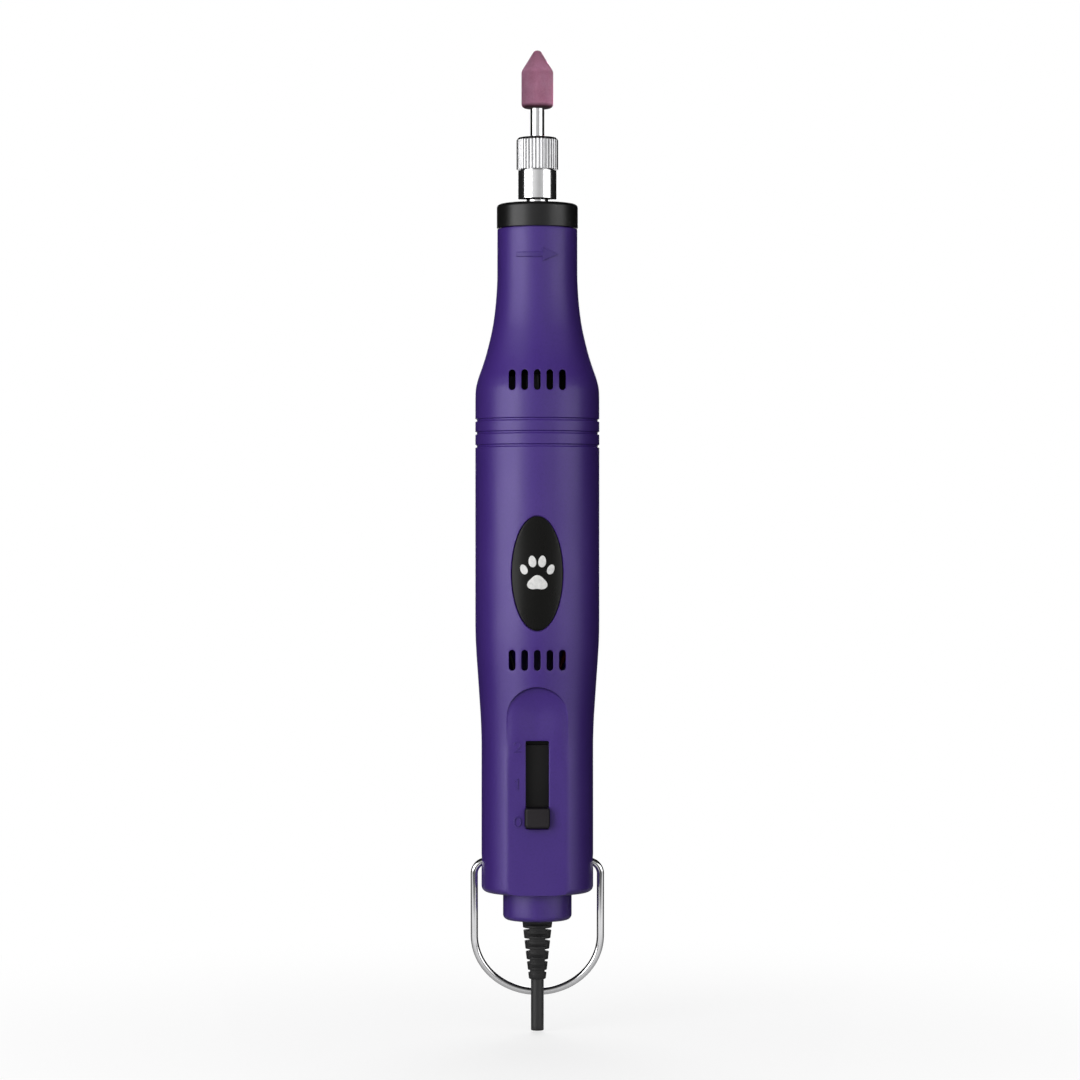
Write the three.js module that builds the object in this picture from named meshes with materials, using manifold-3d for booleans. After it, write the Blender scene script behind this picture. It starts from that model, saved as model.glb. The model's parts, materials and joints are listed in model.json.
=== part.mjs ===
// Electric nail grinder: a corded, pen-shaped rotary tool for filing pets' nails.
// Millimetres, +Z up. The spindle axis is the Z axis, the grinding stone points up, the switch
// faces -Y, and the origin is the middle of the cord's lower end. Left is -X, right is +X.
import * as THREE from "three";
import { mergeVertices } from "three/addons/utils/BufferGeometryUtils.js";
import Module from "manifold-3d";

const wasm = await Module();
wasm.setup();

// ---------------------------------------------------------------- driving dimensions
const WALL = 1.9; // moulded shell thickness
const R_MAIN = 14.0; // grip radius round the motor
const R_REAR = 12.6; // radius round the switch
const R_NECK = 9.03; // radius of the nose
const R_SPIGOT = 8.0; // spigot inside the nose cap
const R_BOSS = 7.75; // tail boss round the strain relief
const R_NOSE_BORE = 7.15; // bore that holds the bearings
const R_TAIL_HOLE = 3.6; // hole for the strain relief
const Z_BOSS = 25.0; // end face of the tail boss
const Z_REAR = 31.3; // end face of the rear section
const Z_TAPER = 66.6; // rear section starts to widen
const Z_MAIN = 89.6; // grip is nearly at full radius
const Z_SHOULDER = 144.4; // grip starts to narrow towards the nose
const Z_NECK = 170.5; // nose is a plain cylinder from here up
const Z_SPIGOT = 180.7; // shoulder the nose cap sits on
const Z_SHELL_TOP = 184.4; // top of the spigot
const SPLIT = 0.05; // half the parting gap between the two shells

const PANEL_Y = 10.55; // depth of the flat switch panel in front of the axis
const PANEL_HALF = 6.88; // half width of the panel
const PANEL_ARCH_Z = 71.1; // centre of the panel's round top

const SCREW_X = 7.6;
const SCREW_Z = { lower: 47.0, upper: 74.0 };
const BAIL_Z = 38.25; // pivot height of the hanging bail
const CORD_R = 1.45;
const MOTOR_SHAFT_R = 1.0;
const SHAFT_BORE_R = MOTOR_SHAFT_R + 0.06; // bore of the parts carried on the motor shaft

const SEG = 24; // facets round a large turned part
const OUTSIDE = 16; // a distance from the axis beyond the shell's skin
const SIDES = [["left", -1], ["right", 1]];

// ---------------------------------------------------------------- helpers: ranges
// A range of the given half length about a middle.
const span = (half, middle = 0) => [middle - half, middle + half];

// A range between two distances from the axis, on the negative or the positive side.
const sided = (side, near, far) => (side > 0 ? [near, far] : [-far, -near]);

// ---------------------------------------------------------------- helpers: solids
function solid(geometry) {
  const loose = geometry.index ? geometry.toNonIndexed() : geometry;
  const bare = new THREE.BufferGeometry().setAttribute("position", loose.getAttribute("position"));
  const merged = mergeVertices(bare, 1e-4);
  const triVerts = new Uint32Array(merged.index.array);
  const vertProperties = merged.attributes.position.array;
  const make = () =>
    new wasm.Manifold(new wasm.Mesh({ numProp: 3, vertProperties, triVerts }));
  const made = make();
  if (made.volume() >= 0) return made;
  // the triangles face inwards, so turn them over
  for (let i = 0; i < triVerts.length; i += 3) {
    [triVerts[i + 1], triVerts[i + 2]] = [triVerts[i + 2], triVerts[i + 1]];
  }
  return make();
}

function geometryOf(manifold) {
  const mesh = manifold.getMesh();
  const geometry = new THREE.BufferGeometry()
    .setAttribute("position", new THREE.Float32BufferAttribute(mesh.vertProperties, 3))
    .setIndex(new THREE.Uint32BufferAttribute(mesh.triVerts, 1));
  geometry.computeVertexNormals();
  return geometry;
}

const addAll = (body, parts) => parts.reduce((sum, part) => sum.add(part), body);
const cutAll = (body, tools) => tools.reduce((rest, tool) => rest.subtract(tool), body);

// Turned solid about Z from [radius, z] pairs. The profile is closed unless both ends lie on Z.
function turned(profile, segments = SEG) {
  const points = profile.map(([radius, z]) => new THREE.Vector2(radius, z));
  if (profile[0][0] > 0 || profile.at(-1)[0] > 0) points.push(points[0].clone());
  return solid(new THREE.LatheGeometry(points, segments).rotateX(Math.PI / 2));
}

// Plain tube about Z.
function tube(inner, outer, [z0, z1], segments) {
  return turned([[inner, z0], [outer, z0], [outer, z1], [inner, z1]], segments);
}

// Box from its range on each axis.
function block([x0, x1], [y0, y1], [z0, z1]) {
  const box = new THREE.BoxGeometry(x1 - x0, y1 - y0, z1 - z0);
  return solid(box.translate((x0 + x1) / 2, (y0 + y1) / 2, (z0 + z1) / 2));
}

// Cylinder along X, Y or Z; the place is its position on the other two axes, in x, y, z order.
function rod(axis, radius, [from, to], [first, second], segments) {
  const cylinder = new THREE.CylinderGeometry(radius, radius, to - from, segments);
  const middle = (from + to) / 2;
  if (axis === "x") cylinder.rotateZ(-Math.PI / 2).translate(middle, first, second);
  if (axis === "y") cylinder.translate(first, middle, second);
  if (axis === "z") cylinder.rotateX(Math.PI / 2).translate(first, second, middle);
  return solid(cylinder);
}

function extruded(outline, depth) {
  const shape = new THREE.Shape(outline.map(([x, y]) => new THREE.Vector2(x, y)));
  return new THREE.ExtrudeGeometry(shape, { depth, bevelEnabled: false });
}

// A closed outline in x and z, extruded along Y.
function slab(outline, [y0, y1]) {
  // (x, y, z) goes to (x, -z, y)
  return solid(extruded(outline, y1 - y0).rotateX(Math.PI / 2).translate(0, y1, 0));
}

// A closed outline in x and y, extruded up.
function prism(outline, [z0, z1]) {
  return solid(extruded(outline, z1 - z0).translate(0, 0, z0));
}

// Equal boxes spaced round Z. Each is [radial, tangential, z] in size before it is turned.
function spokes(count, size, radius, z, turn = 0) {
  return Array.from({ length: count }, (_, i) => {
    const box = new THREE.BoxGeometry(...size).translate(radius, 0, z);
    return solid(box.rotateZ((2 * Math.PI * i) / count + turn));
  });
}

// A round wire with closed ends, swept along a curve.
function wireAlong(curve, radius, steps, sides) {
  const ring = [];
  for (let i = 0; i < sides; i++) {
    const angle = (2 * Math.PI * i) / sides;
    ring.push(new THREE.Vector2(radius * Math.cos(angle), radius * Math.sin(angle)));
  }
  const options = { steps, bevelEnabled: false, extrudePath: curve };
  return solid(new THREE.ExtrudeGeometry(new THREE.Shape(ring), options));
}

// ---------------------------------------------------------------- helpers: outlines in x and z
// Upright slot with round ends.
function roundedSlot(halfWidth, halfHeight, x, z, perEnd) {
  const outline = [];
  for (const [start, rise] of [
    [0, halfHeight - halfWidth],
    [Math.PI, halfWidth - halfHeight],
  ]) {
    for (let i = 0; i <= perEnd; i++) {
      const angle = start + (Math.PI * i) / perEnd;
      outline.push([x + halfWidth * Math.cos(angle), z + rise + halfWidth * Math.sin(angle)]);
    }
  }
  return outline;
}

function ellipse(radiusX, radiusZ, middleZ, count = 20) {
  return Array.from({ length: count }, (_, i) => {
    const angle = (2 * Math.PI * i) / count;
    return [radiusX * Math.cos(angle), middleZ + radiusZ * Math.sin(angle)];
  });
}

const moved = (outline, dx, dz) => outline.map(([x, z]) => [x + dx, z + dz]);

// ---------------------------------------------------------------- materials and groups
const plain = (color, { roughness }) =>
  new THREE.MeshStandardMaterial({ color, roughness, metalness: 0 });
const metal = (color, { roughness }) =>
  new THREE.MeshStandardMaterial({ color, roughness, metalness: 1 });

const finishes = {
  purple: plain(0x432a86, { roughness: 0.42 }),
  black: plain(0x1c1c1d, { roughness: 0.45 }),
  gloss: plain(0x101010, { roughness: 0.2 }),
  rubber: plain(0x151515, { roughness: 0.7 }),
  chrome: metal(0xd8d8da, { roughness: 0.1 }),
  steel: metal(0xb4b6b8, { roughness: 0.3 }),
  dark: metal(0x4a4c50, { roughness: 0.5 }),
  aluminium: metal(0xc4c6c8, { roughness: 0.4 }),
  brass: metal(0xc9a24a, { roughness: 0.3 }),
  bronze: metal(0x9c6b3a, { roughness: 0.5 }),
  copper: metal(0xb4622e, { roughness: 0.35 }),
  stone: plain(0x9c6a80, { roughness: 0.95 }),
  white: plain(0xe6e4de, { roughness: 0.6 }),
  board: plain(0x1e5a34, { roughness: 0.5 }),
  carbon: plain(0x2a2a2c, { roughness: 0.8 }),
  red: plain(0xb01c1c, { roughness: 0.5 }),
};

const grinder = new THREE.Group();
const housing = new THREE.Group();
const spindleGroup = new THREE.Group();
const chuckGroup = new THREE.Group();
const bitGroup = new THREE.Group();
const switchGroup = new THREE.Group();
const bailGroup = new THREE.Group();
grinder.add(housing, spindleGroup, switchGroup, bailGroup);
spindleGroup.add(chuckGroup);
chuckGroup.add(bitGroup);

function put(group, name, shape, finish) {
  const mesh = new THREE.Mesh(geometryOf(shape), finishes[finish]);
  mesh.name = name;
  group.add(mesh);
  return mesh;
}

// ---------------------------------------------------------------- shell body
const GROOVES = [131.75, 134.7, 137.6]; // heights of the three grip grooves
const GROOVE_W = 0.6;
const GROOVE_D = 0.35;
const BOSS_CHAMFER = 1.3;

const groove = (z) => [
  [R_MAIN, z - GROOVE_W / 2],
  [R_MAIN - GROOVE_D, z],
  [R_MAIN, z + GROOVE_W / 2],
];

// [radius, z], from the tail up
const outerProfile = [
  // tail boss
  [0, Z_BOSS], [R_BOSS - BOSS_CHAMFER, Z_BOSS], [R_BOSS, Z_BOSS + BOSS_CHAMFER],
  [R_BOSS, Z_REAR],
  // rear section, with a rounded edge
  [R_REAR - 1.5, Z_REAR], [R_REAR - 0.4, Z_REAR + 0.5], [R_REAR, Z_REAR + 1.6],
  [R_REAR, Z_TAPER], [13.2, 77.5], [13.85, 86.5],
  // grip
  [R_MAIN, Z_MAIN + 1],
  ...GROOVES.flatMap(groove),
  [R_MAIN, Z_SHOULDER - 0.9], [13.88, Z_SHOULDER + 0.3],
  // shoulder
  [13.4, 146.9], [12.7, 149.0], [11.9, 151.3], [10.75, 155.8], [9.85, 160.3], [9.32, 164.9],
  // nose and spigot
  [R_NECK, Z_NECK], [R_NECK, Z_SPIGOT],
  [R_SPIGOT, Z_SPIGOT], [R_SPIGOT, Z_SHELL_TOP], [0, Z_SHELL_TOP],
];

const R_TAIL_ROOM = 5.85;
const R_GRIP_ROOM = R_MAIN - WALL;
const cavityProfile = [
  // tail room, crossed by a rib
  [0, Z_BOSS + WALL], [R_TAIL_ROOM, Z_BOSS + WALL],
  [R_TAIL_ROOM, 29.3], [R_TAIL_HOLE, 29.3], [R_TAIL_HOLE, 30.6], [R_TAIL_ROOM, 30.6],
  [R_TAIL_ROOM, Z_REAR + WALL],
  // switch room
  [R_REAR - WALL, Z_REAR + WALL], [R_REAR - WALL, Z_TAPER],
  // motor room, with a rib below the motor and one above it
  [R_GRIP_ROOM, Z_MAIN + 1],
  [R_GRIP_ROOM, 96.8], [9.3, 96.8], [9.3, 98.3], [R_GRIP_ROOM, 98.3],
  [R_GRIP_ROOM, 139.8], [8.5, 139.8], [8.5, 141.3], [R_GRIP_ROOM, 141.3],
  // fan room, narrowing to the nose bore
  [R_GRIP_ROOM, 143.6], [11.2, 147.6], [9.9, 150.6], [8.9, 154.2], [8.1, 157.2],
  [R_NOSE_BORE, 158.2], [R_NOSE_BORE, Z_SHELL_TOP + 1], [0, Z_SHELL_TOP + 1],
];

// Outline of the flat switch panel: a round top on straight sides.
function panelOutline() {
  const outline = [];
  for (let i = 0; i <= 12; i++) {
    const angle = (Math.PI * i) / 12;
    outline.push([PANEL_HALF * Math.cos(angle), PANEL_ARCH_Z + PANEL_HALF * Math.sin(angle)]);
  }
  outline.push([-PANEL_HALF, 20], [PANEL_HALF, 20]);
  return outline;
}

// Posts for the screws, and wider ones at the back round the screw heads.
const SCREW_SEAT = 5.6; // floor of each counterbore
function screwPosts() {
  const posts = [];
  for (const z of Object.values(SCREW_Z)) {
    for (const side of [-1, 1]) {
      posts.push(rod("y", 2.0, [-11, 11], [side * SCREW_X, z], 10));
      posts.push(rod("y", 2.9, [SCREW_SEAT - 1, R_MAIN], [side * SCREW_X, z], 12));
    }
  }
  return posts;
}

function hollowBody() {
  const outer = turned(outerProfile).subtract(slab(panelOutline(), [-25, -PANEL_Y]));
  const panelBacking = block(
    span(R_MAIN),
    [-OUTSIDE, -(PANEL_Y - WALL)],
    [Z_REAR, PANEL_ARCH_Z + PANEL_HALF + WALL],
  );
  const cavity = turned(cavityProfile).subtract(panelBacking);
  const tailHole = rod("z", R_TAIL_HOLE, [20, 27.5], [0, 0], 20);
  const hollow = outer.subtract(cavity).subtract(tailHole);
  return addAll(hollow, screwPosts().map((post) => post.intersect(outer)));
}

// ---------------------------------------------------------------- shell openings
const VENT_PITCH = 2.8;
const VENT_W = 1.47;
const VENT_H = 4.64;
// Each face has one row below the motor and one round the fan.
const VENTS = [
  { rows: [83.9, 146.3], depth: [-OUTSIDE, -9] }, // front
  { rows: [91.0, 144.6], depth: [9, OUTSIDE] }, // rear
];
const SLOT_HALF = 2.58; // switch slot
const SLOT_Z = [46.15, 65.85];
const BAIL_HOLE = 1.5; // radius of the pivot holes, wide enough for the start of each bend

const BADGE_Z = 103.2;
const BADGE_RX = 5.7;
const BADGE_RZ = 12.72;
const BADGE_GAP = 0.15; // between the badge's edge and its recess

function vents() {
  const cuts = [];
  for (const { rows, depth } of VENTS) {
    for (const row of rows) {
      for (let k = -2; k <= 2; k++) {
        const outline = roundedSlot(VENT_W / 2, VENT_H / 2, k * VENT_PITCH, row, 2);
        cuts.push(slab(outline, depth));
      }
    }
  }
  return cuts;
}

// Oval piece of a tube, on the front of the grip.
function badge(inner, outer, gap) {
  const oval = slab(ellipse(BADGE_RX + gap, BADGE_RZ + gap, BADGE_Z), [-OUTSIDE, -8]);
  return tube(inner, outer, span(14, BADGE_Z)).intersect(oval);
}

const shellOpenings = () => [
  ...vents(),
  block(span(SLOT_HALF), [-OUTSIDE, -7.5], SLOT_Z),
  rod("x", BAIL_HOLE, [-OUTSIDE, -9], [0, BAIL_Z], 16),
  rod("x", BAIL_HOLE, [9, OUTSIDE], [0, BAIL_Z], 16),
  badge(13.3, 15, BADGE_GAP),
];

// ---------------------------------------------------------------- raised marks
const MARK_RISE = { arrow: 0.28, numeral: 0.26 };
const ARROW_Z = 174.5;
const NUMERAL_X = -4.39;
const NUMERAL_Z = { zero: 47.85, one: 56.2, two: 64.5 };

// [x, z] about each mark's own origin
const ARROW = [
  [-4.6, -0.55], [1.1, -0.55], [1.1, -1.55], [4.7, 0], [1.1, 1.55], [1.1, 0.55], [-4.6, 0.55],
];
const ONE = [
  [-0.22, -1.2], [0.22, -1.2], [0.22, 1.2], [-0.1, 1.2], [-0.6, 0.75], [-0.45, 0.5],
  [-0.22, 0.65],
];
const TWO = [
  [-0.85, -1.2], [0.85, -1.2], [0.85, -0.8], [-0.2, -0.8], [0.7, 0.1], [0.85, 0.55],
  [0.6, 1.05], [0, 1.25], [-0.6, 1.05], [-0.82, 0.6], [-0.4, 0.5], [-0.25, 0.75],
  [0, 0.85], [0.3, 0.7], [0.35, 0.4], [-0.85, -0.8],
];

// Arrow on the front of the nose, following its curve.
function arrow() {
  const skin = tube(8.7, R_NECK + MARK_RISE.arrow, [170, 180]);
  return slab(moved(ARROW, 0, ARROW_Z), [-12, -6]).intersect(skin);
}

// Numeral beside the switch slot.
function numeral(outline, z) {
  const depth = [-PANEL_Y - MARK_RISE.numeral, -PANEL_Y + 0.3];
  return slab(moved(outline, NUMERAL_X, z), depth);
}

function numeralZero() {
  const hole = slab(moved(ellipse(0.45, 0.8, 0, 10), NUMERAL_X, NUMERAL_Z.zero), [-12, -10]);
  return numeral(ellipse(0.85, 1.2, 0, 12), NUMERAL_Z.zero).subtract(hole);
}

const raisedMarks = () => [
  arrow(),
  numeralZero(),
  numeral(ONE, NUMERAL_Z.one),
  numeral(TWO, NUMERAL_Z.two),
];

// ---------------------------------------------------------------- the two shells
function shellHalves() {
  const shell = addAll(cutAll(hollowBody(), shellOpenings()), raisedMarks());
  let front = shell.intersect(block(span(20), [-20, -SPLIT], [20, 190]));
  let rear = shell.intersect(block(span(20), [SPLIT, 20], [20, 190]));
  for (const z of Object.values(SCREW_Z)) {
    for (const side of [-1, 1]) {
      const place = [side * SCREW_X, z];
      front = front.subtract(rod("y", 0.95, [-5.2, 1], place, 8)); // pilot hole
      rear = rear
        .subtract(rod("y", 1.3, [-1, R_MAIN], place, 8)) // clearance hole
        .subtract(rod("y", 2.15, [SCREW_SEAT, R_MAIN], place, 12)); // counterbore
    }
  }
  return { front, rear };
}
const shells = shellHalves();
put(housing, "front_shell", shells.front, "purple");
put(housing, "rear_shell", shells.rear, "purple");

// ---------------------------------------------------------------- nose cap, badge and screws
const CAP_GAP = 0.2; // between the cap and the shell's end faces
const CAP_BORE_R = 4.9;
const CAP_TOP = 186.4;
const noseCap = turned([
  [CAP_BORE_R, Z_SHELL_TOP + CAP_GAP], [R_SPIGOT + 0.15, Z_SHELL_TOP + CAP_GAP],
  [R_SPIGOT + 0.15, Z_SPIGOT + CAP_GAP], [9.15, Z_SPIGOT + CAP_GAP],
  [9.15, 185.5], [8.85, 186.15], [8.2, CAP_TOP], [CAP_BORE_R, CAP_TOP],
]);
put(housing, "nose_cap", noseCap, "black");
put(housing, "badge_plate", badge(13.4, 13.98, 0), "gloss");

const SCREW_TOP = 7.5; // how far back the screw heads stand, sunk in their counterbores
const SCREW_SHANK_R = 0.85;
const SCREW_HEAD_R = 1.95;
const SCREW_HEAD_H = 1.9;

// Housing screw along its own Z, with the middle of the head's top at the origin.
function screwShape() {
  const body = turned(
    [
      [0, -11.4], [SCREW_SHANK_R, -9.9], [SCREW_SHANK_R, -SCREW_HEAD_H],
      [SCREW_HEAD_R, -SCREW_HEAD_H], [SCREW_HEAD_R, -0.7], [1.2, 0], [0, 0],
    ],
    10,
  );
  const recessZ = [-0.8, 0.5];
  const cross = block(span(1.2), span(0.25), recessZ).add(
    block(span(0.25), span(1.2), recessZ),
  );
  return body.subtract(cross);
}

const housingScrew = screwShape();
for (const [level, z] of Object.entries(SCREW_Z)) {
  for (const [name, side] of SIDES) {
    const screw = put(housing, `housing_screw_${level}_${name}`, housingScrew, "steel");
    screw.rotation.x = -Math.PI / 2; // points the head out of the back
    screw.position.set(side * SCREW_X, SCREW_TOP, z);
  }
}

// ---------------------------------------------------------------- spindle bearings
const BEARINGS = { front: 179.2, rear: 158.6 }; // lower faces
const RACE_H = 5;
const RACE_R = 7.0; // outer radius of the outer race
const BEARING_BORE_R = 2.56;
const SPACER_GAP = 0.3;
const BALL_COUNT = 7;
const BALL_R = 1.08;
const BALL_ORBIT = 4.74;

// Balls joined by a thin ring.
function bearingBalls(middle) {
  const balls = Array.from({ length: BALL_COUNT }, (_, i) => {
    const angle = (2 * Math.PI * i) / BALL_COUNT;
    const ball = new THREE.OctahedronGeometry(BALL_R, 1);
    return solid(
      ball.translate(BALL_ORBIT * Math.cos(angle), BALL_ORBIT * Math.sin(angle), middle),
    );
  });
  return addAll(tube(4.5, 4.95, span(0.35, middle), 14), balls);
}

for (const [name, z] of Object.entries(BEARINGS)) {
  const height = [z, z + RACE_H];
  const innerRace = tube(BEARING_BORE_R, 3.62, height, 18);
  put(housing, `${name}_bearing_outer_race`, tube(5.9, RACE_R, height, 22), "steel");
  put(spindleGroup, `${name}_bearing_inner_race`, innerRace, "steel");
  put(spindleGroup, `${name}_bearing_balls`, bearingBalls(z + RACE_H / 2), "steel");
}

const spacerZ = [BEARINGS.rear + RACE_H + SPACER_GAP, BEARINGS.front - SPACER_GAP];
put(housing, "bearing_spacer", tube(6.1, RACE_R, spacerZ, 22), "aluminium");

// ---------------------------------------------------------------- spindle and chuck
const SPINDLE_R = 2.48;
const SPINDLE_BORE_R = 1.72;
const spindle = turned(
  [
    // outside
    [0, 150.1], [SPINDLE_R, 150.1], [SPINDLE_R, 187.4], [4.1, 187.4], [4.35, 187.65],
    [4.35, 194.0], [3.6, 194.0], [3.6, 199.5],
    // tapered mouth and bore
    [3.0, 199.5], [SPINDLE_BORE_R, 191.5], [SPINDLE_BORE_R, 169.8], [0, 169.8],
  ],
  22,
);
put(spindleGroup, "spindle", spindle, "chrome");

const COLLET_BORE_R = 1.65;
const colletBody = turned([
  [COLLET_BORE_R, 193.6], [1.99, 193.6], [2.9, 199.4], [2.9, 200.35], [COLLET_BORE_R, 200.35],
]);
const colletSlits = spokes(3, [4, 0.4, 6.4], 2, 198.4, Math.PI / 6);
put(chuckGroup, "collet", cutAll(colletBody, colletSlits), "steel");

const FLUTES = 32;
const FLUTE_DEPTH = 0.22;
const NUT_R = 4.72;
const NUT_Z = [194.2, 201.5];

// Fluted nut with a chamfered top and a stepped bore.
function colletNut() {
  const flutes = [];
  for (let i = 0; i < FLUTES * 2; i++) {
    const angle = (Math.PI * i) / FLUTES;
    const radius = i % 2 ? NUT_R - FLUTE_DEPTH : NUT_R;
    flutes.push([radius * Math.cos(angle), radius * Math.sin(angle)]);
  }
  const [bottom, top] = NUT_Z;
  const envelope = turned([[0, bottom], [4.8, bottom], [4.8, 201.1], [4.25, top], [0, top]]);
  const bore = turned(
    [
      [0, 194], [3.78, 194], [3.78, 199.8], [3.1, 200.0], [3.1, 200.45], [1.85, 200.45],
      [1.85, 202], [0, 202],
    ],
    28,
  );
  return prism(flutes, NUT_Z).intersect(envelope).subtract(bore);
}
put(chuckGroup, "collet_nut", colletNut(), "chrome");

// ---------------------------------------------------------------- mounted grinding stone
const SHANK_R = 3.175 / 2; // standard one-eighth inch shank
const SHANK_Z = [170.1, 214.0];
const SHANK_CHAMFER = 0.25;
const mandrel = turned(
  [
    [0, SHANK_Z[0]], [SHANK_R - SHANK_CHAMFER, SHANK_Z[0]],
    [SHANK_R, SHANK_Z[0] + SHANK_CHAMFER], [SHANK_R, SHANK_Z[1]], [0, SHANK_Z[1]],
  ],
  20,
);
put(bitGroup, "bit_mandrel", mandrel, "chrome");

const STONE_R = 3.6;
const grindingStone = turned(
  [
    // blind hole for the mandrel
    [0, 214.2], [1.65, 214.2], [1.65, 208.1],
    // outside, up to the pointed tip
    [2.6, 208.1], [3.3, 208.4], [STONE_R, 209.1], [STONE_R, 216.15],
    [3.42, 216.75], [1.25, 220.4], [0.7, 221.0], [0, 221.2],
  ],
  22,
);
put(bitGroup, "grinding_stone", grindingStone, "stone");

// ---------------------------------------------------------------- coupling and fan
const coupling = turned([
  [SHAFT_BORE_R, 143.0], [4.4, 143.0], [4.4, 155.6], [4.0, 156.0],
  [2.56, 156.0], [2.56, 149.8], [SHAFT_BORE_R, 149.8],
]);
put(spindleGroup, "shaft_coupling", coupling, "black");

const fanHub = turned([
  [4.5, 143.2], [10.2, 143.2], [10.2, 143.9], [5.6, 144.1], [5.6, 148.2], [4.5, 148.2],
]);
const fanBlades = spokes(9, [4.9, 0.7, 4.2], 7.65, 145.7);
put(spindleGroup, "cooling_fan", addAll(fanHub, fanBlades), "black");

// ---------------------------------------------------------------- motor, fixed parts
const CAN_R = 11.8;
const CAN_WALL = 0.8;
const CAN_Z = [103.2, 139.5];
const BUSHING_R = 2.2;
const BUSHING_BORE_R = MOTOR_SHAFT_R + 0.07;
const BUSHING_SEAT_R = BUSHING_R + 0.1;
const BUSHINGS = { front: [137.8, 141.2], rear: [99.2, 102.6] }; // z ranges
const CAP_Z = [99.0, 103.0]; // end cap, without its rim
const TERMINAL_X = 7;
const MAGNET_R = [9.15, 10.8];

const motorShaft = turned(
  [[0, 97.4], [MOTOR_SHAFT_R, 97.4], [MOTOR_SHAFT_R, 149.4], [0, 149.4]],
  16,
);
put(spindleGroup, "motor_shaft", motorShaft, "steel");

const motorCan = turned([
  // outside, with a bearing boss on top
  [CAN_R, CAN_Z[0]], [CAN_R, 138.9], [11.2, CAN_Z[1]], [3.3, CAN_Z[1]], [3.3, 141.3],
  // inside
  [BUSHING_SEAT_R, 141.3], [BUSHING_SEAT_R, CAN_Z[1] - CAN_WALL],
  [CAN_R - CAN_WALL, CAN_Z[1] - CAN_WALL], [CAN_R - CAN_WALL, CAN_Z[0]],
]);
put(housing, "motor_can", motorCan, "steel");

for (const [name, height] of Object.entries(BUSHINGS)) {
  const bushing = tube(BUSHING_BORE_R, BUSHING_R, height, 18);
  put(housing, `motor_bushing_${name}`, bushing, "bronze");
}

const endCap = turned([
  [BUSHING_SEAT_R, CAP_Z[0]], [11.6, CAP_Z[0]], [11.6, CAP_Z[1]], [10.8, CAP_Z[1]],
  [10.8, 104.5], [9.2, 104.5], [9.2, CAP_Z[1]], [BUSHING_SEAT_R, CAP_Z[1]],
]);
const terminalSlots = [-1, 1].map((side) =>
  block(span(0.45, side * TERMINAL_X), span(1.35), [98, 105]),
);
put(housing, "motor_end_cap", cutAll(endCap, terminalSlots), "black");

// Curved magnet reaching 62 degrees each way from the X axis.
function magnet(side) {
  const arc = (radius) =>
    Array.from({ length: 11 }, (_, i) => {
      const angle = ((-62 + 12.4 * i) * Math.PI) / 180;
      return [side * radius * Math.cos(angle), radius * Math.sin(angle)];
    });
  const [inner, outer] = MAGNET_R;
  return prism([...arc(outer), ...arc(inner).reverse()], [107, 137]);
}

// A carbon block on an upright arm with a foot pointing outwards.
function brush(side) {
  const width = span(1.2);
  const carbon = block(sided(side, 2.95, 4.6), width, [105.2, 107.8]);
  const arm = block(sided(side, 4.5, 4.9), width, [103.3, 107.8]);
  const foot = block(sided(side, 4.5, 6.4), width, [103.3, 103.7]);
  return carbon.add(arm.add(foot));
}

for (const [name, side] of SIDES) {
  const terminal = block(span(0.25, side * TERMINAL_X), span(1.2), [94.2, 104.2]);
  put(housing, `motor_magnet_${name}`, magnet(side), "dark");
  put(housing, `carbon_brush_${name}`, brush(side), "carbon");
  put(housing, `motor_terminal_${name}`, terminal, "brass");
}

// ---------------------------------------------------------------- motor, armature
const POLES = 3;
const BETWEEN_POLES = Math.PI / 3;
const ARMATURE_Z = [112, 131];
const ARMATURE_MID = (ARMATURE_Z[0] + ARMATURE_Z[1]) / 2;
const ARMATURE_H = ARMATURE_Z[1] - ARMATURE_Z[0];
const HUB_R = 3.2;
const POLE_W = 3.0;
const WINDING_GAP = 0.2; // between the winding and the core

// T-shaped poles on a hub.
function armatureCore() {
  const hub = rod("z", HUB_R, ARMATURE_Z, [0, 0], 18);
  const webs = spokes(POLES, [7.5, POLE_W, ARMATURE_H], 4.4, ARMATURE_MID);
  const gaps = spokes(POLES, [8, 2.6, ARMATURE_H + 1], 6, ARMATURE_MID, BETWEEN_POLES);
  const faces = cutAll(tube(7.3, 8.75, ARMATURE_Z), gaps);
  const bore = rod("z", SHAFT_BORE_R, [100, 140], [0, 0], 16);
  return addAll(hub, webs).add(faces).subtract(bore);
}
put(spindleGroup, "armature_core", armatureCore(), "dark");

// One turned mass with room cut out for the core.
function armatureWinding() {
  const mass = turned(
    [[1.6, 109.4], [6.6, 109.4], [7.1, 110.4], [7.1, 132.6], [6.6, 133.6], [1.6, 133.6]],
    18,
  );
  const roomZ = [ARMATURE_Z[0] - WINDING_GAP, ARMATURE_Z[1] + WINDING_GAP];
  const hubRoom = rod("z", HUB_R + WINDING_GAP, roomZ, [0, 0], 18);
  const webSize = [9, POLE_W + 2 * WINDING_GAP, ARMATURE_H + 2 * WINDING_GAP];
  return mass.subtract(addAll(hubRoom, spokes(POLES, webSize, 4.6, ARMATURE_MID)));
}
put(spindleGroup, "armature_winding", armatureWinding(), "copper");

const commutatorBody = turned([
  [SHAFT_BORE_R, 104.6], [2.8, 104.6], [2.8, 108.4], [3.3, 108.4], [3.3, 109.1],
  [SHAFT_BORE_R, 109.1],
]);
const commutatorSlits = spokes(POLES, [2, 0.35, 4], 3.2, 106.3, BETWEEN_POLES);
put(spindleGroup, "commutator", cutAll(commutatorBody, commutatorSlits), "copper");

// ---------------------------------------------------------------- switch and board
const KNOB_HALF = 2.85;
const KNOB_Y = [-13.1, -10.8];

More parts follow.
